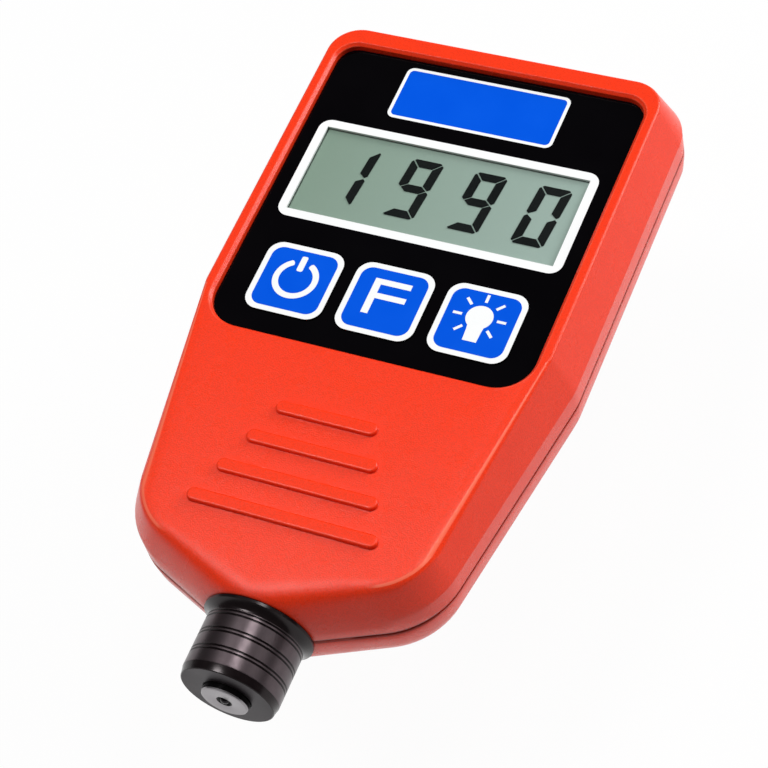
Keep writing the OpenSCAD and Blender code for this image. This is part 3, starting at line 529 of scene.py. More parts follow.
class Shape:
    """Mesh makers; all sizes in millimetres in the frame of the CAD model."""

    SHARP = 32.0
    SHADE_WEIGHT = 60
    EASE_STEPS = 4
    # Limits in metres and degrees under which points, slivers and flat seams of a CAD mesh are joined.
    WELD_M = 2e-6
    SLIVER_M = 1e-6
    FLAT_ANGLE = 0.4
    # A radius under this is a point on the axis.
    ON_AXIS = 1e-6

    @staticmethod
    def finish(bm: bmesh.types.BMesh, name: str, angle: float = SHARP) -> bpy.types.Object:
        """Turns a bmesh in metres into a shaded object at the origin.

        Args:
            bm: the mesh, freed here.
            name: object name.
            angle: edges sharper than this stay sharp, in degrees.

        Returns:
            The object.
        """
        limit = math.radians(angle)
        for face in bm.faces:
            face.smooth = True
        for edge in bm.edges:
            edge.smooth = len(edge.link_faces) == 2 and edge.calc_face_angle(0.0) < limit
        mesh = bpy.data.meshes.new(name)
        bm.to_mesh(mesh)
        bm.free()
        obj = bpy.data.objects.new(name, mesh)
        bpy.context.scene.collection.objects.link(obj)
        mod = obj.modifiers.new("even_shading", "WEIGHTED_NORMAL")
        mod.keep_sharp = True
        mod.weight = Shape.SHADE_WEIGHT
        return obj

    @staticmethod
    def welded(node: str, name: str, angle: float = SHARP) -> bpy.types.Object:
        """Copies a CAD node as one joined, smoothly shaded mesh.

        Args:
            node: node name.
            name: name of the copy.
            angle: edges sharper than this stay sharp, in degrees.

        Returns:
            The copy.
        """
        bm = bmesh.new()
        bm.from_mesh(frame["nodes"][node].data)
        bmesh.ops.remove_doubles(bm, verts=bm.verts[:], dist=Shape.WELD_M)
        bmesh.ops.dissolve_degenerate(bm, edges=bm.edges[:], dist=Shape.SLIVER_M)
        bmesh.ops.dissolve_limit(bm, angle_limit=math.radians(Shape.FLAT_ANGLE), verts=bm.verts[:],
                                 edges=bm.edges[:])
        return Shape.finish(bm, name, angle)

    @staticmethod
    def loft(rings: Sequence[Sequence[Point3]], caps: bool = True) -> bmesh.types.BMesh:
        """Joins closed rings of equal count with quads.

        Args:
            rings: rings of points in millimetres, first to last.
            caps: whether the two ends are closed.

        Returns:
            The mesh in metres, with its normals outwards.
        """
        bm = bmesh.new()
        rows = [[bm.verts.new(Vector(p) * MM) for p in ring] for ring in rings]
        count = len(rings[0])
        for a, b in zip(rows, rows[1:]):
            for i in range(count):
                j = (i + 1) % count
                bm.faces.new((a[i], a[j], b[j], b[i]))
        if caps:
            bm.faces.new(list(reversed(rows[0])))
            bm.faces.new(rows[-1])
        bmesh.ops.recalc_face_normals(bm, faces=bm.faces[:])
        return bm

    @staticmethod
    def rounded(w: float, h: float, r: float, steps: int = 8) -> List[Point2]:
        """Outline of a rectangle with rounded corners.

        Args:
            w: width.
            h: height.
            r: corner radius.
            steps: segments in each corner.

        Returns:
            The outline about the origin, counter-clockwise.
        """
        pts: List[Point2] = []
        for k, (sx, sy) in enumerate(((1, 1), (-1, 1), (-1, -1), (1, -1))):
            for i in range(steps + 1):
                a = math.radians(90 * k + 90 * i / steps)
                pts.append((sx * (w / 2 - r) + r * math.cos(a), sy * (h / 2 - r) + r * math.sin(a)))
        return pts

    @staticmethod
    def plate(outline: Sequence[Point2], z0: float, z1: float, ease: float = 0.0) -> bmesh.types.BMesh:
        """Flat plate of an outline, its top edge eased by small steps.

        Args:
            outline: outline in millimetres.
            z0: underside.
            z1: top.
            ease: radius of the top edge.

        Returns:
            The mesh in metres.
        """
        cx = sum(p[0] for p in outline) / len(outline)
        cy = sum(p[1] for p in outline) / len(outline)
        half = max(max(abs(p[0] - cx), abs(p[1] - cy)) for p in outline)

        def ring(z: float, d: float) -> List[Point3]:
            """The outline at a height, drawn in by d."""
            k = 1 - d / half
            return [(cx + (x - cx) * k, cy + (y - cy) * k, z) for x, y in outline]
        rings = [ring(z0, 0.0)]
        if ease > 0:
            for i in range(Shape.EASE_STEPS + 1):
                a = math.radians(90 * i / Shape.EASE_STEPS)
                rings.append(ring(z1 - ease * (1 - math.sin(a)), ease * (1 - math.cos(a))))
        else:
            rings.append(ring(z1, 0.0))
        return Shape.loft(rings)

    @staticmethod
    def frame_band(outer: Sequence[Point2], inner: Sequence[Point2], z0: float, z1: float) -> bmesh.types.BMesh:
        """Closed flat band between two outlines of equal count.

        Args:
            outer: outer outline.
            inner: inner outline.
            z0: underside.
            z1: top.

        Returns:
            The mesh in metres.
        """
        rings = [[(x, y, z0) for x, y in outer], [(x, y, z1) for x, y in outer],
                 [(x, y, z1) for x, y in inner], [(x, y, z0) for x, y in inner]]
        return Shape.loft(rings + [rings[0]], caps=False)

    @staticmethod
    def prism(outline: Sequence[Point2], z0: float, z1: float) -> bmesh.types.BMesh:
        """Straight prism of any simple outline, with triangulated ends.

        Args:
            outline: outline in millimetres.
            z0: underside.
            z1: top.

        Returns:
            The mesh in metres.
        """
        bm = Shape.loft([[(x, y, z0) for x, y in outline], [(x, y, z1) for x, y in outline]])
        bmesh.ops.triangulate(bm, faces=[f for f in bm.faces if len(f.verts) > 4])
        return bm

    @staticmethod
    def lathe(profile: Sequence[Point2], neck_y: float, axis_z: float,
              segments: int = 128) -> bmesh.types.BMesh:
        """Turns a closed profile about the probe axis.

        Args:
            profile: radius and distance in front of the neck, in order round the section.
            neck_y: where the distance is zero.
            axis_z: height of the axis.
            segments: segments round the axis.

        Returns:
            The mesh in metres.
        """
        bm = bmesh.new()
        rows = []
        for r, s in profile:
            if r < Shape.ON_AXIS:
                rows.append([bm.verts.new(Vector((0, neck_y - s, axis_z)) * MM)] * segments)
            else:
                rows.append([bm.verts.new(Vector((r * math.cos(2 * math.pi * i / segments), neck_y - s,
                                                  axis_z + r * math.sin(2 * math.pi * i / segments))) * MM)
                             for i in range(segments)])
        count = len(profile)
        for k in range(count):
            a, b = rows[k], rows[(k + 1) % count]
            if len(set(a)) == 1 and len(set(b)) == 1:
                continue
            for i in range(segments):
                j = (i + 1) % segments
                quad = list(dict.fromkeys((a[i], a[j], b[j], b[i])))
                if len(quad) > 2:
                    bm.faces.new(quad)
        bmesh.ops.recalc_face_normals(bm, faces=bm.faces[:])
        return bm

    @staticmethod
    def merge(parts: Sequence[bmesh.types.BMesh]) -> bmesh.types.BMesh:
        """Joins several meshes into the first one.

        Args:
            parts: the meshes; all but the first are freed.

        Returns:
            The first mesh, with the others in it.
        """
        base = parts[0]
        for part in parts[1:]:
            mesh = bpy.data.meshes.new("join")
            part.to_mesh(mesh)
            part.free()
            base.from_mesh(mesh)
            bpy.data.meshes.remove(mesh)
        return base


class Nodes:
    """Geometry Nodes trees for what repeats."""

    @staticmethod
    def _tree(name: str,
              inputs: Sequence[Tuple[str, str, Any]]) -> Tuple[bpy.types.NodeTree, Dict[str, str]]:
        """Starts a tree with named inputs.

        Args:
            name: tree name.
            inputs: name, socket type and value of each input.

        Returns:
            The tree and the identifier of each input.
        """
        tree = bpy.data.node_groups.new(name, "GeometryNodeTree")
        tree.interface.new_socket("Geometry", in_out="INPUT", socket_type="NodeSocketGeometry")
        ids: Dict[str, str] = {}
        for label, kind, value in inputs:
            sock = tree.interface.new_socket(label, in_out="INPUT", socket_type=kind)
            if value is not None:
                sock.default_value = value
            ids[label] = sock.identifier
        tree.interface.new_socket("Geometry", in_out="OUTPUT", socket_type="NodeSocketGeometry")
        return tree, ids

    @staticmethod
    def _bake(obj: bpy.types.Object) -> bpy.types.Object:
        """Turns the evaluated result into the object's own plain mesh and drops the modifier.

        Args:
            obj: the object with its modifier.

        Returns:
            The same object.
        """
        deps = bpy.context.evaluated_depsgraph_get()
        deps.update()
        mesh = bpy.data.meshes.new_from_object(obj.evaluated_get(deps))
        obj.modifiers.clear()
        old = obj.data
        obj.data = mesh
        mesh.name = obj.name
        bpy.data.meshes.remove(old)
        return obj

    @staticmethod
    def at_points(name: str, piece: bpy.types.Object, places: Sequence[Point3],
                  mat: bpy.types.Material) -> bpy.types.Object:
        """Sets a copy of a piece at each place.

        Args:
            name: name of the result.
            piece: the piece about its own origin; removed afterwards.
            places: places in millimetres.
            mat: material of the result.

        Returns:
            One plain mesh object.
        """
        tree, ids = Nodes._tree(name + "_nodes", (("Piece", "NodeSocketObject", None),
                                                  ("Finish", "NodeSocketMaterial", None)))
        n, l = tree.nodes, tree.links
        gin, gout = n.new("NodeGroupInput"), n.new("NodeGroupOutput")
        info = n.new("GeometryNodeObjectInfo")
        spread = n.new("GeometryNodeInstanceOnPoints")
        real = n.new("GeometryNodeRealizeInstances")
        dress = n.new("GeometryNodeSetMaterial")
        l.new(gin.outputs["Piece"], info.inputs["Object"])
        l.new(gin.outputs["Geometry"], spread.inputs["Points"])
        l.new(info.outputs["Geometry"], spread.inputs["Instance"])
        l.new(spread.outputs["Instances"], real.inputs["Geometry"])
        l.new(real.outputs["Geometry"], dress.inputs["Geometry"])
        l.new(gin.outputs["Finish"], dress.inputs["Material"])
        l.new(dress.outputs["Geometry"], gout.inputs[0])
        mesh = bpy.data.meshes.new(name)
        mesh.from_pydata([Vector(p) * MM for p in places], [], [])
        obj = bpy.data.objects.new(name, mesh)
        bpy.context.scene.collection.objects.link(obj)
        mod = obj.modifiers.new("spread", "NODES")
        mod.node_group = tree
        mod[ids["Piece"]] = piece
        mod[ids["Finish"]] = mat
        Nodes._bake(obj)
        bpy.data.objects.remove(piece, do_unlink=True)
        return obj

    @staticmethod
    def rays(name: str, count: int, radius: float, size: Point3, first: float, step: float,
             mat: bpy.types.Material) -> bpy.types.Object:
        """Bars set round a centre like rays.

        Args:
            name: name of the result.
            count: number of rays.
            radius: distance of a ray's middle from the centre, in millimetres.
            size: length, width and thickness of a ray, in millimetres.
            first: angle of the first ray, in degrees.
            step: angle from one ray to the next, in degrees.
            mat: material of the result.

        Returns:
            One plain mesh object about the origin.
        """
        tree, ids = Nodes._tree(name + "_nodes", (
            ("Count", "NodeSocketInt", count), ("Radius", "NodeSocketFloat", radius * MM),
            ("Size", "NodeSocketVector", tuple(v * MM for v in size)),
            ("First Angle", "NodeSocketFloat", math.radians(first)),
            ("Step Angle", "NodeSocketFloat", math.radians(step)), ("Finish", "NodeSocketMaterial", None)))
        n, l = tree.nodes, tree.links
        gin, gout = n.new("NodeGroupInput"), n.new("NodeGroupOutput")
        index = n.new("GeometryNodeInputIndex")
        angle = n.new("ShaderNodeMath")
        angle.operation = "MULTIPLY_ADD"
        cos, sin = n.new("ShaderNodeMath"), n.new("ShaderNodeMath")
        cos.operation, sin.operation = "COSINE", "SINE"
        out_x, out_y = n.new("ShaderNodeMath"), n.new("ShaderNodeMath")
        out_x.operation = out_y.operation = "MULTIPLY"
        where, turn = n.new("ShaderNodeCombineXYZ"), n.new("ShaderNodeCombineXYZ")
        points = n.new("GeometryNodePoints")
        bar = n.new("GeometryNodeMeshCube")
        spread = n.new("GeometryNodeInstanceOnPoints")
        real = n.new("GeometryNodeRealizeInstances")
        dress = n.new("GeometryNodeSetMaterial")
        l.new(index.outputs[0], angle.inputs[0])
        l.new(gin.outputs["Step Angle"], angle.inputs[1])
        l.new(gin.outputs["First Angle"], angle.inputs[2])
        for trig, mul, axis in ((cos, out_x, "X"), (sin, out_y, "Y")):
            l.new(angle.outputs[0], trig.inputs[0])
            l.new(trig.outputs[0], mul.inputs[0])
            l.new(gin.outputs["Radius"], mul.inputs[1])
            l.new(mul.outputs[0], where.inputs[axis])
        l.new(angle.outputs[0], turn.inputs["Z"])
        l.new(gin.outputs["Count"], points.inputs["Count"])
        l.new(where.outputs[0], points.inputs["Position"])
        l.new(gin.outputs["Size"], bar.inputs["Size"])
        l.new(points.outputs[0], spread.inputs["Points"])
        l.new(bar.outputs["Mesh"], spread.inputs["Instance"])
        l.new(turn.outputs[0], spread.inputs["Rotation"])
        l.new(spread.outputs["Instances"], real.inputs["Geometry"])
        l.new(real.outputs["Geometry"], dress.inputs["Geometry"])
        l.new(gin.outputs["Finish"], dress.inputs["Material"])
        l.new(dress.outputs["Geometry"], gout.inputs[0])
        obj = bpy.data.objects.new(name, bpy.data.meshes.new(name))
        bpy.context.scene.collection.objects.link(obj)
        mod = obj.modifiers.new("rays", "NODES")
        mod.node_group = tree
        mod[ids["Finish"]] = mat
        return Nodes._bake(obj)


def dress(obj: bpy.types.Object, finish: Finish, slot: Slot, body: Body, *nodes: str) -> bpy.types.Object:
    """Gives a piece its finish and the body it rides on, and hides the CAD nodes that it stands for.

    Args:
        obj: the piece.
        finish: its finish.
        slot: the record's slot; not used.
        body: the body it rides on.
        nodes: CAD nodes that it replaces.

    Returns:
        The piece.
    """
    if not obj.data.materials:
        obj.data.materials.append(finish.material())
    else:
        obj.data.materials[0] = finish.material()
    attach(obj, body.value)
    if nodes:
        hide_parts(*nodes)
    LOG.info("%s: %d faces on %s", obj.name, len(obj.data.polygons), body.value)
    return obj


def shift(obj: bpy.types.Object, x: float, y: float, z: float) -> bpy.types.Object:
    """Moves a piece's mesh, in millimetres, and leaves its object at the origin."""
    obj.data.transform(Matrix.Translation(Vector((x, y, z)) * MM))
    return obj


def joint(name: str) -> Dict[str, Any]:
    """Finds a joint of the record by its name."""
    return next(j for j in frame["record"]["behaviour"]["joints"] if j["name"] == name)


@dataclass
class Layout:
    """Places that several pieces share, in millimetres, read from the frame.

    Attributes:
        disp_y: middle of the display.
        key_y: middle of the key row.
        key_pitch: spacing of the keys.
        key_w: side of a key.
        panel_z: top of the overlay.
        floor_z: underside of the overlay.
        window: width and height of the visible display.
        neck_y: front of the probe neck.
        axis_z: height of the probe axis.
    """

    disp_y: float
    key_y: float
    key_pitch: float
    key_w: float
    panel_z: float
    floor_z: float
    window: Point2
    neck_y: float
    axis_z: float

    # Flange round a key, ledge round the window, and length of the barrel inside the neck.
    FLANGE = 0.5
    LEDGE = 1.6
    SHANK = 4.05
    # How far round the window its opening reaches, how low it goes, and how near a skin counts as its rim.
    OPENING_REACH = 2.5
    OPENING_LOW = 16.5
    OPENING_SKIN = 0.02
    OPENING_TILT = 0.5

    @classmethod
    def read(cls) -> "Layout":
        """Works the places out from the boxes of the CAD nodes.

        Returns:
            The places.
        """
        win, panel = cls.span("display_window"), cls.span("face_overlay")
        mid, right, barrel = cls.span("key_function"), cls.span("key_light"), cls.span("probe_barrel")
        return cls(disp_y=(win[0].y + win[1].y) / 2, key_y=(mid[0].y + mid[1].y) / 2,
                   key_pitch=right[0].x - mid[0].x, key_w=mid[1].x - mid[0].x - 2 * cls.FLANGE,
                   panel_z=panel[1].z, floor_z=panel[0].z,
                   window=(win[1].x - win[0].x - 2 * cls.LEDGE, win[1].y - win[0].y - 2 * cls.LEDGE),
                   neck_y=barrel[1].y - cls.SHANK, axis_z=(barrel[0].z + barrel[1].z) / 2)

    @staticmethod
    def span(node: str) -> Tuple[Vector, Vector]:
        """Lowest and highest corner of a CAD node, in millimetres."""
        lo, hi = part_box(node)
        return lo / MM, hi / MM


def line_opening(obj: bpy.types.Object, layout: Layout) -> None:
    """Gives the walls of the display opening the tone of the display's lining.

    Args:
        obj: a piece that the opening goes through.
        layout: the shared places.
    """
    obj.data.materials.append(LCD_WALL.material())
    half_w, half_h = (side / 2 + Layout.OPENING_REACH for side in layout.window)
    top, under = layout.panel_z - Layout.OPENING_SKIN, layout.floor_z - Layout.OPENING_SKIN
    for poly in obj.data.polygons:
        c = poly.center / MM
        inside = abs(c.x) < half_w and abs(c.y - layout.disp_y) < half_h and Layout.OPENING_LOW < c.z < top
        if inside and (abs(poly.normal.z) < Layout.OPENING_TILT or c.z < under):
            poly.material_index = 1


@dataclass
class Housing:
    """Moulded shells, battery door and the screws in the back."""

    layout: Layout
    screw_head_r: float = 2.4
    screw_head_h: float = 1.8
    screw_z: float = 3.95
    screw_r: float = 1.25
    screw_end: float = 15.95
    head_dome: float = 0.42
    dome_radii: Tuple[float, ...] = (1.7, 2.0, 2.2)
    cross_len: float = 2.7
    cross_w: float = 0.62
    cross_deep: float = 0.95
    cross_taper: float = 0.78
    cross_lip: float = 0.04
    thread_from: float = 0.4
    thread_pitch: float = 0.6
    thread_deep: float = 0.22
    plain_end: float = 1.0
    tip_taper: float = 0.8
    tip_r: float = 0.1
    tip_step: float = 0.1
    arc_steps: int = 8
    soft_angle: float = 15
    screw_angle: float = 24
    places: Tuple[Point2, ...] = ((20.8, 50.4), (-20.8, 50.4), (16.6, -24.5), (-16.6, -24.5))

    def build(self) -> None:
        """Builds and dresses every piece of the housing."""
        front = Shape.welded("front_shell", "housing_front", self.soft_angle)
        dress(front, HOUSING, Slot.HOUSING, Body.HOUSING, "front_shell")
        line_opening(front, self.layout)
        rear = Shape.welded("rear_shell", "housing_rear", self.soft_angle)
        dress(rear, HOUSING, Slot.HOUSING, Body.HOUSING, "rear_shell")
        door = Shape.welded("battery_door", "housing_door")
        dress(door, HOUSING, Slot.HOUSING, Body.DOOR, "battery_door")
        self.screws()

    def screws(self) -> None:
        """Builds the four housing screws with a domed head, a cross recess and a threaded shank."""
        top = self.screw_z - self.screw_head_h
        rings = [self.cross(self.cross_taper, top + self.cross_deep), self.cross(1.0, top + self.cross_lip)]
        rings += [self.ring(r, top + self.head_dome * (r / self.screw_head_r) ** 4)
                  for r in (*self.dome_radii, self.screw_head_r)]
        rings += [self.ring(self.screw_head_r, self.screw_z), self.ring(self.screw_r, self.screw_z)]
        z = self.screw_z + self.thread_from
        while z < self.screw_end - self.plain_end:
            rings += [self.ring(self.screw_r, z),
                      self.ring(self.screw_r - self.thread_deep, z + self.thread_pitch / 2)]
            z += self.thread_pitch
        rings += [self.ring(self.screw_r * self.tip_taper, z + self.tip_step),
                  self.ring(self.tip_r, self.screw_end)]
        piece = Shape.finish(Shape.loft(rings), "screw_piece", self.screw_angle)
        places = [(x, y, 0.0) for x, y in self.places]
        made = Nodes.at_points("housing_screw_set", piece, places, SCREW.material())
        dress(made, SCREW, Slot.SCREW, Body.HOUSING, "housing_screws")

    def turns(self) -> List[float]:
        """Works out the angles round a screw, with the corners of the cross among them.

        Returns:
            The angles in radians, rising.
        """
        out = math.atan2(self.cross_w / 2, self.cross_len / 2)
        between = math.pi / 2 - 2 * out
        quarter = [-out, -out / 2, 0.0, out / 2, out]
        quarter += [out + between * i / self.arc_steps for i in range(1, self.arc_steps)]
        return [math.pi / 2 * k + a for k in range(4) for a in quarter]

    def ring(self, r: float, z: float) -> List[Point3]:
        """Circle of a screw at a height."""
        return [(r * math.cos(a), r * math.sin(a), z) for a in self.turns()]

    def cross(self, scale: float, z: float) -> List[Point3]:
        """Outline of the cross recess at a height.

        Args:
            scale: share of its full size that it is drawn in to.
            z: the height.

        Returns:
            The outline about the screw's axis.
        """
        pts: List[Point3] = []
        for a in self.turns():
            c, d = max(abs(math.cos(a)), 1e-9), max(abs(math.sin(a)), 1e-9)
            arms = [min(self.cross_len / 2 / u, self.cross_w / 2 / v) for u, v in ((c, d), (d, c))]
            r = max(arms) * scale
            pts.append((r * math.cos(a), r * math.sin(a), z))
        return pts


@dataclass
class FacePanel:
    """Black overlay with its printed frame and bare badge field."""

    layout: Layout
    border: float = 1.5
    border_r: float = 2.1
    border_r_in: float = 0.05
    badge: Tuple[float, float, float, float] = (-14.5, 13.25, 14.5, 24.15)
    badge_r: float = 1.25
    badge_border: float = 0.55
    badge_r_less: float = 0.45
    ink: float = 0.03
    field_share: float = 0.8

    def build(self) -> None:
        """Builds and dresses the overlay and its prints."""
        overlay = Shape.welded("face_overlay", "panel_overlay")
        dress(overlay, PANEL, Slot.PANEL, Body.HOUSING, "face_overlay")
        line_opening(overlay, self.layout)
        z = self.layout.panel_z
        w, h = self.layout.window
        outer = [(x, y + self.layout.disp_y) for x, y in
                 Shape.rounded(w + 2 * self.border, h + 2 * self.border, self.border_r)]
        inner = [(x, y + self.layout.disp_y) for x, y in Shape.rounded(w, h, self.border_r_in)]
        band = Shape.finish(Shape.frame_band(outer, inner, z, z + self.ink), "panel_window_frame")
        dress(band, PRINT_WHITE, Slot.PANEL, Body.HOUSING)
        x0, y0, x1, y1 = self.badge
        cx, cy = (x0 + x1) / 2, (y0 + y1) / 2 + self.layout.disp_y
        bw, bh = x1 - x0, y1 - y0
        edge = [(x + cx, y + cy) for x, y in Shape.rounded(bw, bh, self.badge_r)]
        fill = [(x + cx, y + cy) for x, y in
                Shape.rounded(bw - 2 * self.badge_border, bh - 2 * self.badge_border,
                              self.badge_r - self.badge_r_less)]
        rim = Shape.finish(Shape.frame_band(edge, fill, z, z + self.ink), "panel_badge_edge")
        dress(rim, PRINT_WHITE, Slot.PANEL, Body.HOUSING)
        plain = Shape.finish(Shape.plate(fill, z, z + self.ink * self.field_share), "panel_badge_field")
        dress(plain, PRINT_BLUE, Slot.PANEL, Body.HOUSING)


@dataclass
class Display:
    """Window, display cell and its dark segments."""

    layout: Layout
    step_z: float = 17.4
    neck_z: float = 18.4
    back_z: float = 19.3
    ink_z: float = 19.4
    glass_z: float = 19.46
    digit_w: float = 5.55
    digit_h: float = 11.95
    stroke: float = 1.5
    gap: float = 0.1
    cut: float = 0.62
    lean: float = 0.085
    first_x: float = -15.5
    digit_pitch: float = 11.07
    mid_y: float = 0.38
    waist: Point3 = (0.8, 0.7, 1.3)
    seat_over: float = 0.3
    glass_gap: float = 0.1
    cover_gap: float = 0.08
    cover_lift: float = 0.05
    cover_ease: float = 0.05
    ink_deep: float = 0.03
    sheet_r: float = 0.2
    sheet_steps: int = 3
    shown: Tuple[str, ...] = ("bc", "abcdfg", "abcdfg", "abcdef")

    def build(self) -> None:
        """Builds and dresses the display."""
        lo, hi = Layout.span("display_glass")
        top = Layout.span("display_window")[1].z
        w, h = self.layout.window
        back = [Shape.prism(self.sheet(hi.x - lo.x, hi.y - lo.y), lo.z, self.step_z),
                Shape.prism(self.sheet(w + self.seat_over, h + self.seat_over), self.step_z, self.neck_z),
                Shape.prism(self.sheet(w - self.glass_gap, h - self.glass_gap), self.neck_z, self.back_z)]
        made = Shape.finish(Shape.merge(back), "display_back")
        dress(made, LCD_BACK, Slot.LCD, Body.HOUSING, "display_glass")
        front = Shape.prism(self.sheet(w - self.glass_gap, h - self.glass_gap), self.back_z, self.glass_z)
        dress(Shape.finish(front, "display_front_glass"), LCD_CLEAR, Slot.LCD, Body.HOUSING)
        cover = Shape.plate(self.sheet(w - self.cover_gap, h - self.cover_gap), self.glass_z + self.cover_lift,
                            top, self.cover_ease)
        dress(Shape.finish(cover, "display_cover"), WINDOW, Slot.WINDOW, Body.HOUSING, "display_window")
        parts = []
        for k, names in enumerate(self.shown):
            cx, cy = self.first_x + k * self.digit_pitch, self.layout.disp_y + self.mid_y
            for name in names:
                outline = [(cx + px + self.lean * py, cy + py) for px, py in self.segment(name)]
                parts.append(Shape.prism(outline, self.ink_z - self.ink_deep, self.ink_z))
        dress(Shape.finish(Shape.merge(parts), "display_segments"), LCD_DARK, Slot.LCD, Body.HOUSING)

    def sheet(self, w: float, h: float) -> List[Point2]:
        """Outline of a sheet of the display, about the display's middle."""
        outline = Shape.rounded(w, h, self.sheet_r, self.sheet_steps)
        return [(x, y + self.layout.disp_y) for x, y in outline]

    def segment(self, name: str) -> List[Point2]:
        """Outline of one segment with mitred ends.

        Args:
            name: a to g, as on a seven-segment digit.

        Returns:
            The outline about the digit's centre.
        """
        w, h, t, g, c = self.digit_w / 2, self.digit_h / 2, self.stroke, self.gap, self.cut
        m, n = g * math.sqrt(0.5), g * math.sqrt(2)
        if name in "ad":
            s = 1 if name == "a" else -1
            half = [(w - c, s * h), (w - c / 2 - m, s * (h - c / 2 + m)), (w - t - n, s * (h - t))]
            return half + [(-x, y) for x, y in reversed(half)]
        if name == "g":
            half = [(w - t - g, t / 2), (w - c, 0), (w - t - g, -t / 2)]
            return half + [(-x, y) for x, y in reversed(half)]
        sx = 1 if name in "bc" else -1
        sy = 1 if name in "bf" else -1
        rise, nip, split = self.waist
        side = [(w - c / 2 + m, h - c / 2 - m), (w, h - c), (w, rise * c), (w - nip * c, split * g),
                (w - t, t / 2 + split * g), (w - t, h - t - n)]
        return [(sx * x, sy * y) for x, y in side]


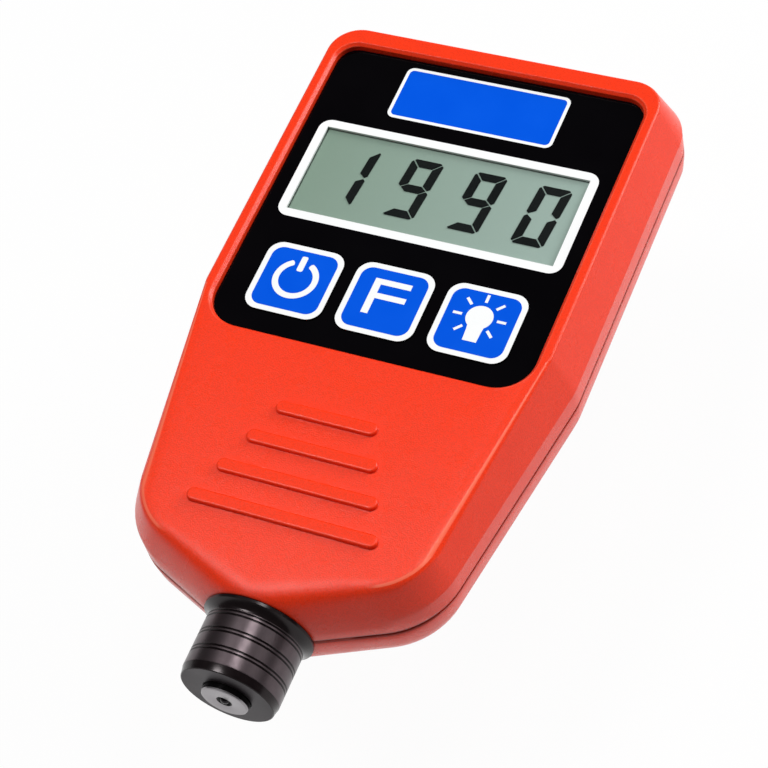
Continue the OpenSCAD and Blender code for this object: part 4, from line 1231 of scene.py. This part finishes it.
@dataclass
class Key:
    """One square key: white edge, blue field and its symbol."""

    layout: Layout
    index: int
    symbol: Symbol
    body: Body
    node: str
    corner: float = 2.5
    border: float = 0.97
    ink: float = 0.02
    cap_ease: float = 0.04
    flange_gap: float = 0.05
    stem_r: float = 2.2
    stem_in: float = 0.1
    stem_steps: int = 40
    edge_gap: float = 0.1
    edge_inks: float = 2.5
    field_r_more: float = 0.35
    field_inks: float = 0.5
    mark_inks: float = 0.6

    # Outline of the function symbol.
    FUNCTION = ((-3.05, -2.9), (-1.85, -2.9), (-1.85, 0.15), (3.2, 0.15), (3.2, 1.2), (-1.85, 1.2),
                (-1.85, 2.85), (3.2, 2.85), (3.2, 3.9), (-3.05, 3.9))

    def build(self) -> None:
        """Builds and dresses the key."""
        lo, hi = Layout.span(self.node)
        cx, cy = self.index * self.layout.key_pitch, self.layout.key_y
        top, side, ledge = hi.z, self.layout.key_w, Layout.FLANGE
        z_flange = self.layout.floor_z - self.flange_gap - ledge
        cap = Shape.plate(Shape.rounded(side, side, self.corner), z_flange, top - 2 * self.ink, self.cap_ease)
        flange = Shape.plate(Shape.rounded(side + 2 * ledge, side + 2 * ledge, self.corner + ledge), z_flange,
                             z_flange + ledge)
        turns = [2 * math.pi * i / self.stem_steps for i in range(self.stem_steps)]
        stem = Shape.plate([(self.stem_r * math.cos(a), self.stem_r * math.sin(a)) for a in turns],
                           lo.z, z_flange + self.stem_in)
        base = shift(Shape.finish(Shape.merge([cap, flange, stem]), self.node + "_cap"), cx, cy, 0)
        dress(base, KEY_SIDE, Slot.KEY, self.body, self.node)
        edge = Shape.plate(Shape.rounded(side - self.edge_gap, side - self.edge_gap, self.corner),
                           top - self.edge_inks * self.ink, top - self.ink)
        dress(shift(Shape.finish(edge, self.node + "_edge"), cx, cy, 0), PRINT_WHITE, Slot.KEY, self.body)
        field_w = side - 2 * self.border
        field_r = self.corner - self.border + self.field_r_more
        blue = Shape.plate(Shape.rounded(field_w, field_w, field_r), top - 2 * self.ink,
                           top - self.ink * self.field_inks)
        dress(shift(Shape.finish(blue, self.node + "_field"), cx, cy, 0), PRINT_BLUE, Slot.KEY, self.body)
        mark = self.mark(top - self.ink * self.mark_inks, top)
        dress(shift(mark, cx, cy, 0), PRINT_WHITE, Slot.KEY, self.body)

    def mark(self, z0: float, z1: float) -> bpy.types.Object:
        """Builds the symbol of this key about the origin.

        Args:
            z0: underside.
            z1: top.

        Returns:
            The symbol.
        """
        name = self.node + "_mark"
        if self.symbol is Symbol.POWER:
            return Shape.finish(Shape.merge(self.power(z0, z1)), name)
        if self.symbol is Symbol.FUNCTION:
            return Shape.finish(Shape.prism(self.FUNCTION, z0, z1), name)
        return self.bulb(z0, z1, name)

    @staticmethod
    def power(z0: float, z1: float) -> List[bmesh.types.BMesh]:
        """Open ring and bar of the power symbol.

        Args:
            z0: underside.
            z1: top.

        Returns:
            The ring and the bar.
        """
        r, t, gap, cy, steps = 3.3, 1.02, 30.0, 0.25, 56
        end_steps, end_flat = 8, 0.6
        bar_w, bar_h, bar_r, bar_steps, bar_x, bar_y = 1.05, 2.95, 0.3, 3, -0.05, 3.25
        outer, inner = [], []
        for i in range(steps + 1):
            a = math.radians(90 + gap + (360 - 2 * gap) * i / steps)
            outer.append(((r + t / 2) * math.cos(a), cy + (r + t / 2) * math.sin(a)))
            inner.append(((r - t / 2) * math.cos(a), cy + (r - t / 2) * math.sin(a)))
        end, start = [], []
        for i in range(1, end_steps):
            b = math.radians(180 * i / end_steps)
            for store, at, sign in ((end, 450 - gap, 1), (start, 90 + gap, -1)):
                a = math.radians(at)
                d = t / 2 * math.cos(b)
                side = sign * t / 2 * math.sin(b) * end_flat
                store.append(((r + d) * math.cos(a) - side * math.sin(a),
                              cy + (r + d) * math.sin(a) + side * math.cos(a)))
        outline = outer + end + inner[::-1] + start[::-1]
        bar = [(x + bar_x, y + bar_y) for x, y in Shape.rounded(bar_w, bar_h, bar_r, bar_steps)]
        return [Shape.prism(outline, z0, z1), Shape.prism(bar, z0, z1)]

    @staticmethod
    def bulb(z0: float, z1: float, name: str) -> bpy.types.Object:
        """Light bulb with rays round it.

        Args:
            z0: underside.
            z1: top.
            name: name of the symbol.

        Returns:
            The symbol about the origin.
        """
        cx, cy, r, steps, from_deg, sweep_deg = -0.1, 1.0, 2.2, 40, -52, 284
        neck_half, neck_drop, foot_half, foot_y = 1.25, 2.6, 1.15, -3.6
        ray_count, ray_r, ray_len, ray_w, ray_from, ray_step = 7, 3.65, 1.5, 0.48, -45, 45
        pts: List[Point2] = []
        for i in range(steps + 1):
            a = math.radians(from_deg + sweep_deg * i / steps)
            pts.append((cx + r * math.cos(a), cy + r * math.sin(a)))
        pts += [(cx - neck_half, cy - neck_drop), (cx - foot_half, foot_y), (cx + foot_half, foot_y),
                (cx + neck_half, cy - neck_drop)]
        body = Shape.finish(Shape.prism(pts, z0, z1), name)
        rays = Nodes.rays(name + "_rays", ray_count, ray_r, (ray_len, ray_w, z1 - z0), ray_from, ray_step,
                          PRINT_WHITE.material())
        shift(rays, cx, cy, (z0 + z1) / 2)
        bm = bmesh.new()
        bm.from_mesh(body.data)
        bm.from_mesh(rays.data)
        bpy.data.objects.remove(rays, do_unlink=True)
        bpy.data.objects.remove(body, do_unlink=True)
        return Shape.finish(bm, name)


@dataclass
class Probe:
    """Turned barrel, sensor plunger with its spring, and contact ball."""

    layout: Layout
    barrel_r: float = 7.75
    collar_r: float = 8.8
    collar_len: float = 1.9
    length: float = 12.1
    grooves: Tuple[float, ...] = (2.45, 5.4, 8.35)
    nose_r: float = 7.4
    nose_len: float = 1.3
    bore_r: float = 3.82
    chamber_r: float = 5.0
    chamber_end: float = 8.1
    shank_r: float = 7.0
    clamp_r: float = 6.0
    clamp_from: float = -2.05
    collar_from: float = 0.05
    collar_ease: float = 0.12
    collar_lip: float = 0.17
    flare_from: float = 0.6
    flare_steps: int = 8
    groove_off: float = 0.3
    groove_half: float = 0.17
    groove_floor: float = 0.03
    groove_deep: float = 0.16
    groove_zone: Point2 = (0.16, 0.04)
    nose_ease: float = 0.1
    nose_step: float = 0.05
    nose_round: Point2 = (0.06, 0.08)
    mouth_ease: Point2 = (0.15, 0.12)
    face: float = 13.2
    plunger_r: float = 3.77
    plunger_gap: float = 0.05
    sleeve_r: Point2 = (2.6, 3.1)
    sleeve_len: float = 5.7
    flange_r: float = 4.95
    flange_len: float = 1.7
    rim: Tuple[Point2, ...] = ((0.0, 0.3), (0.09, 0.1), (0.26, 0.0))
    recess: Tuple[Point2, ...] = ((1.45, 0.0), (1.25, 0.08), (0.97, 0.5), (0.97, 1.6))
    # The face zone takes in the edge chamfer, whose light finish there is a painted highlight ring; the recess
    # zone gets a painted shade.
    face_zone: Point2 = (1.3, 0.22)
    recess_zone: Point2 = (1.75, 11.0)
    ball_r: float = 0.9
    ball_out: float = 0.2
    ball_steps: int = 16
    plunger_sides: int = 96
    ball_sides: int = 32
    sharp: float = 24

    def build(self) -> None:
        """Builds and dresses the probe."""
        y, z = self.layout.neck_y, self.layout.axis_z
        barrel = Shape.finish(Shape.lathe(self.barrel_profile(), y, z), "probe_barrel_turned", self.sharp)
        self.paint(barrel, (BARREL, COLLAR, NOSE), self.barrel_zone)
        dress(barrel, BARREL, Slot.BARREL, Body.HOUSING, "probe_barrel")
        turned = Shape.lathe(self.plunger_profile(), y, z, self.plunger_sides)
        plunger = Shape.finish(turned, "probe_plunger_turned", self.sharp)
        self.paint(plunger, (PLUNGER_SIDE, PLUNGER_FACE, RECESS_PAINTED_SHADE), self.plunger_zone)
        dress(plunger, PLUNGER_SIDE, Slot.PLUNGER, Body.PLUNGER, "sensor_plunger")
        mid = self.face + self.ball_out - self.ball_r
        arc = [math.pi * i / self.ball_steps for i in range(self.ball_steps + 1)]
        ball: List[Point2] = [(self.ball_r * math.sin(a), mid - self.ball_r * math.cos(a)) for a in arc]
        ball[0], ball[-1] = (0.0, ball[0][1]), (0.0, ball[-1][1])
        tip = Shape.finish(Shape.lathe(ball, y, z, self.ball_sides), "probe_contact_tip")
        dress(tip, BALL, Slot.BALL, Body.PLUNGER, "contact_ball")
        self.spring()

    def spring(self) -> None:
        """Copies the plunger's spring from its CAD node and gives the copy a mesh of its own."""
        coil = Shape.welded("probe_spring", "probe_spring_coil")
        dress(coil, STEEL, Slot.CONTACT, Body.HOUSING, "probe_spring")
        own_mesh(coil)

    def barrel_profile(self) -> List[Point2]:
        """Section of the barrel.

        Returns:
            Radius and distance in front of the neck, in order round the section.
        """
        back, end, nose = -Layout.SHANK, self.length, self.length - self.nose_len
        pts: List[Point2] = [
            (self.chamber_r, back), (self.shank_r, back), (self.shank_r, self.clamp_from),
            (self.clamp_r, self.clamp_from), (self.clamp_r, self.collar_from),
            (self.collar_r - self.collar_ease, self.collar_from), (self.collar_r, self.collar_lip)]
        for i in range(self.flare_steps + 1):
            t = i / self.flare_steps
            pts.append((self.barrel_r + (self.collar_r - self.barrel_r) * (1 - t) ** 2,
                        self.flare_from + (self.collar_len - self.flare_from) * t))
        low = self.barrel_r - self.groove_deep
        for g in self.grooves:
            for side in (-self.groove_off, self.groove_off):
                pts += [(self.barrel_r, g + side - self.groove_half), (low, g + side - self.groove_floor),
                        (low, g + side + self.groove_floor), (self.barrel_r, g + side + self.groove_half)]
        pts += [(self.barrel_r, nose - self.nose_ease), (self.barrel_r - self.nose_step, nose),
                (self.nose_r + self.nose_round[0], end - self.nose_ease),
                (self.nose_r - self.nose_round[1], end), (self.bore_r + self.mouth_ease[0], end),
                (self.bore_r, end - self.mouth_ease[1]), (self.bore_r, self.chamber_end),
                (self.chamber_r, self.chamber_end)]
        return pts

    def plunger_profile(self) -> List[Point2]:
        """Section of the plunger.

        Returns:
            Radius and distance in front of the neck, in order round the section.
        """
        f, r, c = self.face, self.plunger_r, self.chamber_end - self.plunger_gap
        hollow, sleeve = self.sleeve_r
        pts = [(hollow, c - self.sleeve_len), (sleeve, c - self.sleeve_len), (sleeve, c - self.flange_len),
               (self.flange_r, c - self.flange_len), (self.flange_r, c), (r, c)]
        pts += [(r - less, f - deep) for less, deep in self.rim]
        pts += [(radius, f - deep) for radius, deep in self.recess]
        return pts + [(hollow, f - self.recess[-1][1])]

    def paint(self, obj: bpy.types.Object, finishes: Sequence[Finish],
              zone: Callable[[float, float], int]) -> None:
        """Gives each face the finish of its zone.

        Args:
            obj: the piece.
            finishes: finishes in the order of the zones.
            zone: function of radius and distance that gives a zone's number.
        """
        for finish in finishes:
            obj.data.materials.append(finish.material())
        for poly in obj.data.polygons:
            vs = [obj.data.vertices[i].co / MM for i in poly.vertices]
            r = sum(math.hypot(v.x, v.z - self.layout.axis_z) for v in vs) / len(vs)
            poly.material_index = zone(r, self.layout.neck_y - poly.center.y / MM)

    def barrel_zone(self, r: float, s: float) -> int:
        """Tells the zone of a point on the barrel.

        Args:
            r: its radius.
            s: its distance in front of the neck.

        Returns:
            0 for the sides, 1 for the collar, grooves and chamfer, 2 for the front face.
        """
        near, front, mouth = 0.02, 0.06, 0.05
        if s < self.collar_len or self.length - self.nose_len - near < s < self.length - near:
            return 1
        half, skin = self.groove_zone
        if r < self.barrel_r - skin and any(abs(abs(s - g) - self.groove_off) < half for g in self.grooves):
            return 1
        return 2 if s >= self.length - front and r > self.bore_r + mouth else 0

    def plunger_zone(self, r: float, s: float) -> int:
        """Tells the zone of a point on the plunger.

        Args:
            r: its radius.
            s: its distance in front of the neck.

        Returns:
            0 for the sides, 1 for the front face and its edge chamfer, whose light finish there is a painted
            highlight, 2 for the recess, which is painted dark as shade.
        """
        if s > self.face - self.face_zone[1] and r > self.face_zone[0]:
            return 1
        return 2 if r < self.recess_zone[0] and s > self.recess_zone[1] else 0


@dataclass
class Inside:
    """Pieces behind the face and in the battery bay; they keep their CAD form."""

    finishes: Dict[str, Finish] = field(default_factory=lambda: {
        "backlight_panel": DIFFUSER, "contact_strips": STRIP, "circuit_board": BOARD, "controller_chip": CHIP,
        "probe_socket": CREAM, "key_switches": CHIP, "cell_left": CELL, "cell_right": CELL,
        "contact_positive": STEEL, "contact_negative": STEEL, "contact_bridge": STEEL, "board_screws": STEEL,
        "probe_plug": STEEL, "sensor_coil": COPPER, "sensor_core": FERRITE, "probe_leads": LEAD})

    def build(self) -> None:
        """Dresses the CAD nodes that stay."""
        for name, finish in self.finishes.items():
            obj = frame["nodes"][name]
            mat = finish.material()
            if obj.data.materials:
                for i in range(len(obj.data.materials)):
                    obj.data.materials[i] = mat
            else:
                obj.data.materials.append(mat)
            LOG.info("%s dressed with %s", name, finish.name)


@dataclass(frozen=True)
class Lamp:
    """A round area light that faces the gauge.

    Attributes:
        name: light name.
        place: where it stands, in metres.
        size: its diameter in metres.
        power: its power in watts.
    """

    name: str
    place: Point3
    size: float
    power: float


@dataclass
class Studio:
    """Camera, lights, floor and world.

    Attributes:
        layout: the shared places.
        focal: focal length in pixels of the photograph's frame.
        image_px: width of that frame.
        sensor: sensor width in millimetres.
        clip: nearest and farthest distance that the camera sees, in metres.
        turn: rotation of the camera as an axis times its angle in radians.
        offset: the middle of the display seen from the camera, in millimetres.
        floor_gap: room between the open door and the floor, in metres.
        floor_half: half of the floor's side, in metres.
        floor_tone: grey of the floor.
        floor_rough: roughness of the floor.
        floor_white: how much of the floor reads as plain white.
        world_level: strength of the even light round the gauge.
        aim: point that the lamps face, in metres.
        lamps: the lamps.
    """

    layout: Layout
    focal: float = 2400.0
    image_px: int = 768
    sensor: float = 36
    clip: Point2 = (0.01, 20)
    turn: Point3 = (2.520496, 0.429040, -0.367328)
    offset: Point3 = (8.4643, -30.3484, 383.8057)
    floor_gap: float = 0.002
    floor_half: float = 3.0
    floor_tone: float = 0.82
    floor_rough: float = 0.9
    floor_white: float = 0.96
    world_level: float = 0.12
    aim: Point3 = (0, 0, 0.01)
    lamps: Tuple[Lamp, ...] = (Lamp("key", (-0.29, -0.03, 0.86), 0.3, 4.05),
                               Lamp("side", (0.52, 0.62, 0.36), 0.5, 5.6),
                               Lamp("back", (0.15, 0.34, 0.86), 0.24, 1.9))

    def build(self) -> None:
        """Sets the scene round the gauge."""
        self.camera()
        self.floor()
        self.lights()
        bpy.context.scene.view_settings.view_transform = "Standard"

    def camera(self) -> None:
        """Places the camera that was fitted to the photograph."""
        axis = Vector(self.turn)
        rot = Matrix.Rotation(axis.length, 3, axis.normalized())
        place = Vector((0, self.layout.disp_y, self.layout.panel_z)) - rot.transposed() @ Vector(self.offset)
        cam = bpy.data.cameras.new("camera")
        cam.sensor_width = self.sensor
        cam.lens = self.focal * self.sensor / self.image_px
        cam.clip_start, cam.clip_end = self.clip
        obj = bpy.data.objects.new("camera", cam)
        right, up, back = rot[0], -rot[1], -rot[2]
        basis = Matrix((right, up, back)).transposed().to_4x4()
        obj.matrix_world = Matrix.Translation(place * MM) @ basis
        bpy.context.scene.collection.objects.link(obj)
        bpy.context.scene.camera = obj

    def floor_z(self) -> float:
        """Works out the floor's height, just under the battery door when it hangs open.

        Returns:
            The height in metres.
        """
        hinge = joint("door_hinge")
        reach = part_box("battery_door")[1].y - hinge["pos_m"][1]
        return -math.sin(math.radians(max(hinge["range_deg"]))) * reach - self.floor_gap

    def floor(self) -> None:
        """Lays a pale floor that reads as white, keeps a soft shadow and is clear from below."""
        bm = bmesh.new()
        bmesh.ops.create_grid(bm, x_segments=1, y_segments=1, size=self.floor_half)
        bmesh.ops.translate(bm, verts=bm.verts, vec=(0, 0, self.floor_z()))
        mesh = bpy.data.meshes.new("floor")
        bm.to_mesh(mesh)
        bm.free()
        obj = bpy.data.objects.new("floor", mesh)
        mat = bpy.data.materials.new("floor_white")
        mat.use_nodes = True
        n, l = mat.node_tree.nodes, mat.node_tree.links
        bsdf = next(x for x in n if x.type == "BSDF_PRINCIPLED")
        bsdf.inputs["Base Color"].default_value = (self.floor_tone, self.floor_tone, self.floor_tone, 1)
        bsdf.inputs["Roughness"].default_value = self.floor_rough
        glow = n.new("ShaderNodeEmission")
        glow.inputs["Strength"].default_value = 1.0
        path = n.new("ShaderNodeLightPath")
        shown, clear, seen = (n.new("ShaderNodeMath") for _ in range(3))
        shown.operation = clear.operation = "MAXIMUM"
        seen.operation = "MULTIPLY"
        seen.inputs[1].default_value = self.floor_white
        mix = n.new("ShaderNodeMixShader")
        out = next(x for x in n if x.type == "OUTPUT_MATERIAL")
        l.new(path.outputs["Is Camera Ray"], shown.inputs[0])
        l.new(path.outputs["Is Glossy Ray"], shown.inputs[1])
        l.new(shown.outputs[0], clear.inputs[0])
        l.new(path.outputs["Is Transmission Ray"], clear.inputs[1])
        l.new(clear.outputs[0], seen.inputs[0])
        l.new(seen.outputs[0], mix.inputs[0])
        l.new(bsdf.outputs[0], mix.inputs[1])
        l.new(glow.outputs[0], mix.inputs[2])
        under = n.new("ShaderNodeNewGeometry")
        clear_side = n.new("ShaderNodeBsdfTransparent")
        sides = n.new("ShaderNodeMixShader")
        l.new(under.outputs["Backfacing"], sides.inputs[0])
        l.new(mix.outputs[0], sides.inputs[1])
        l.new(clear_side.outputs[0], sides.inputs[2])
        l.new(sides.outputs[0], out.inputs["Surface"])
        mesh.materials.append(mat)
        bpy.context.scene.collection.objects.link(obj)

    def lights(self) -> None:
        """Sets soft area lights and an even world."""
        world = bpy.data.worlds.new("studio")
        bpy.context.scene.world = world
        world.use_nodes = True
        n, l = world.node_tree.nodes, world.node_tree.links
        back = next(x for x in n if x.type == "BACKGROUND")
        back.inputs["Color"].default_value = (1, 1, 1, 1)
        path = n.new("ShaderNodeLightPath")
        level = n.new("ShaderNodeMapRange")
        level.inputs["To Min"].default_value = self.world_level
        level.inputs["To Max"].default_value = 1.0
        l.new(path.outputs["Is Camera Ray"], level.inputs["Value"])
        l.new(level.outputs["Result"], back.inputs["Strength"])
        for lamp in self.lamps:
            light = bpy.data.lights.new(lamp.name, "AREA")
            light.shape = "DISK"
            light.size = lamp.size
            light.energy = lamp.power
            obj = bpy.data.objects.new(lamp.name, light)
            obj.location = lamp.place
            obj.rotation_euler = (Vector(self.aim) - Vector(lamp.place)).to_track_quat("-Z", "Y").to_euler()
            bpy.context.scene.collection.objects.link(obj)


def main() -> None:
    """Builds the studio and every sub-assembly in order."""
    logging.basicConfig(level=logging.INFO, format="%(name)s %(message)s")
    layout = Layout.read()
    Studio(layout).build()
    Housing(layout).build()
    FacePanel(layout).build()
    Display(layout).build()
    for index, symbol, body, node in ((-1, Symbol.POWER, Body.POWER, "key_power"),
                                      (0, Symbol.FUNCTION, Body.FUNCTION, "key_function"),
                                      (1, Symbol.LIGHT, Body.LIGHT, "key_light")):
        Key(layout, index, symbol, body, node).build()
    Probe(layout).build()
    Inside().build()


if __name__ == "__main__":
    main()
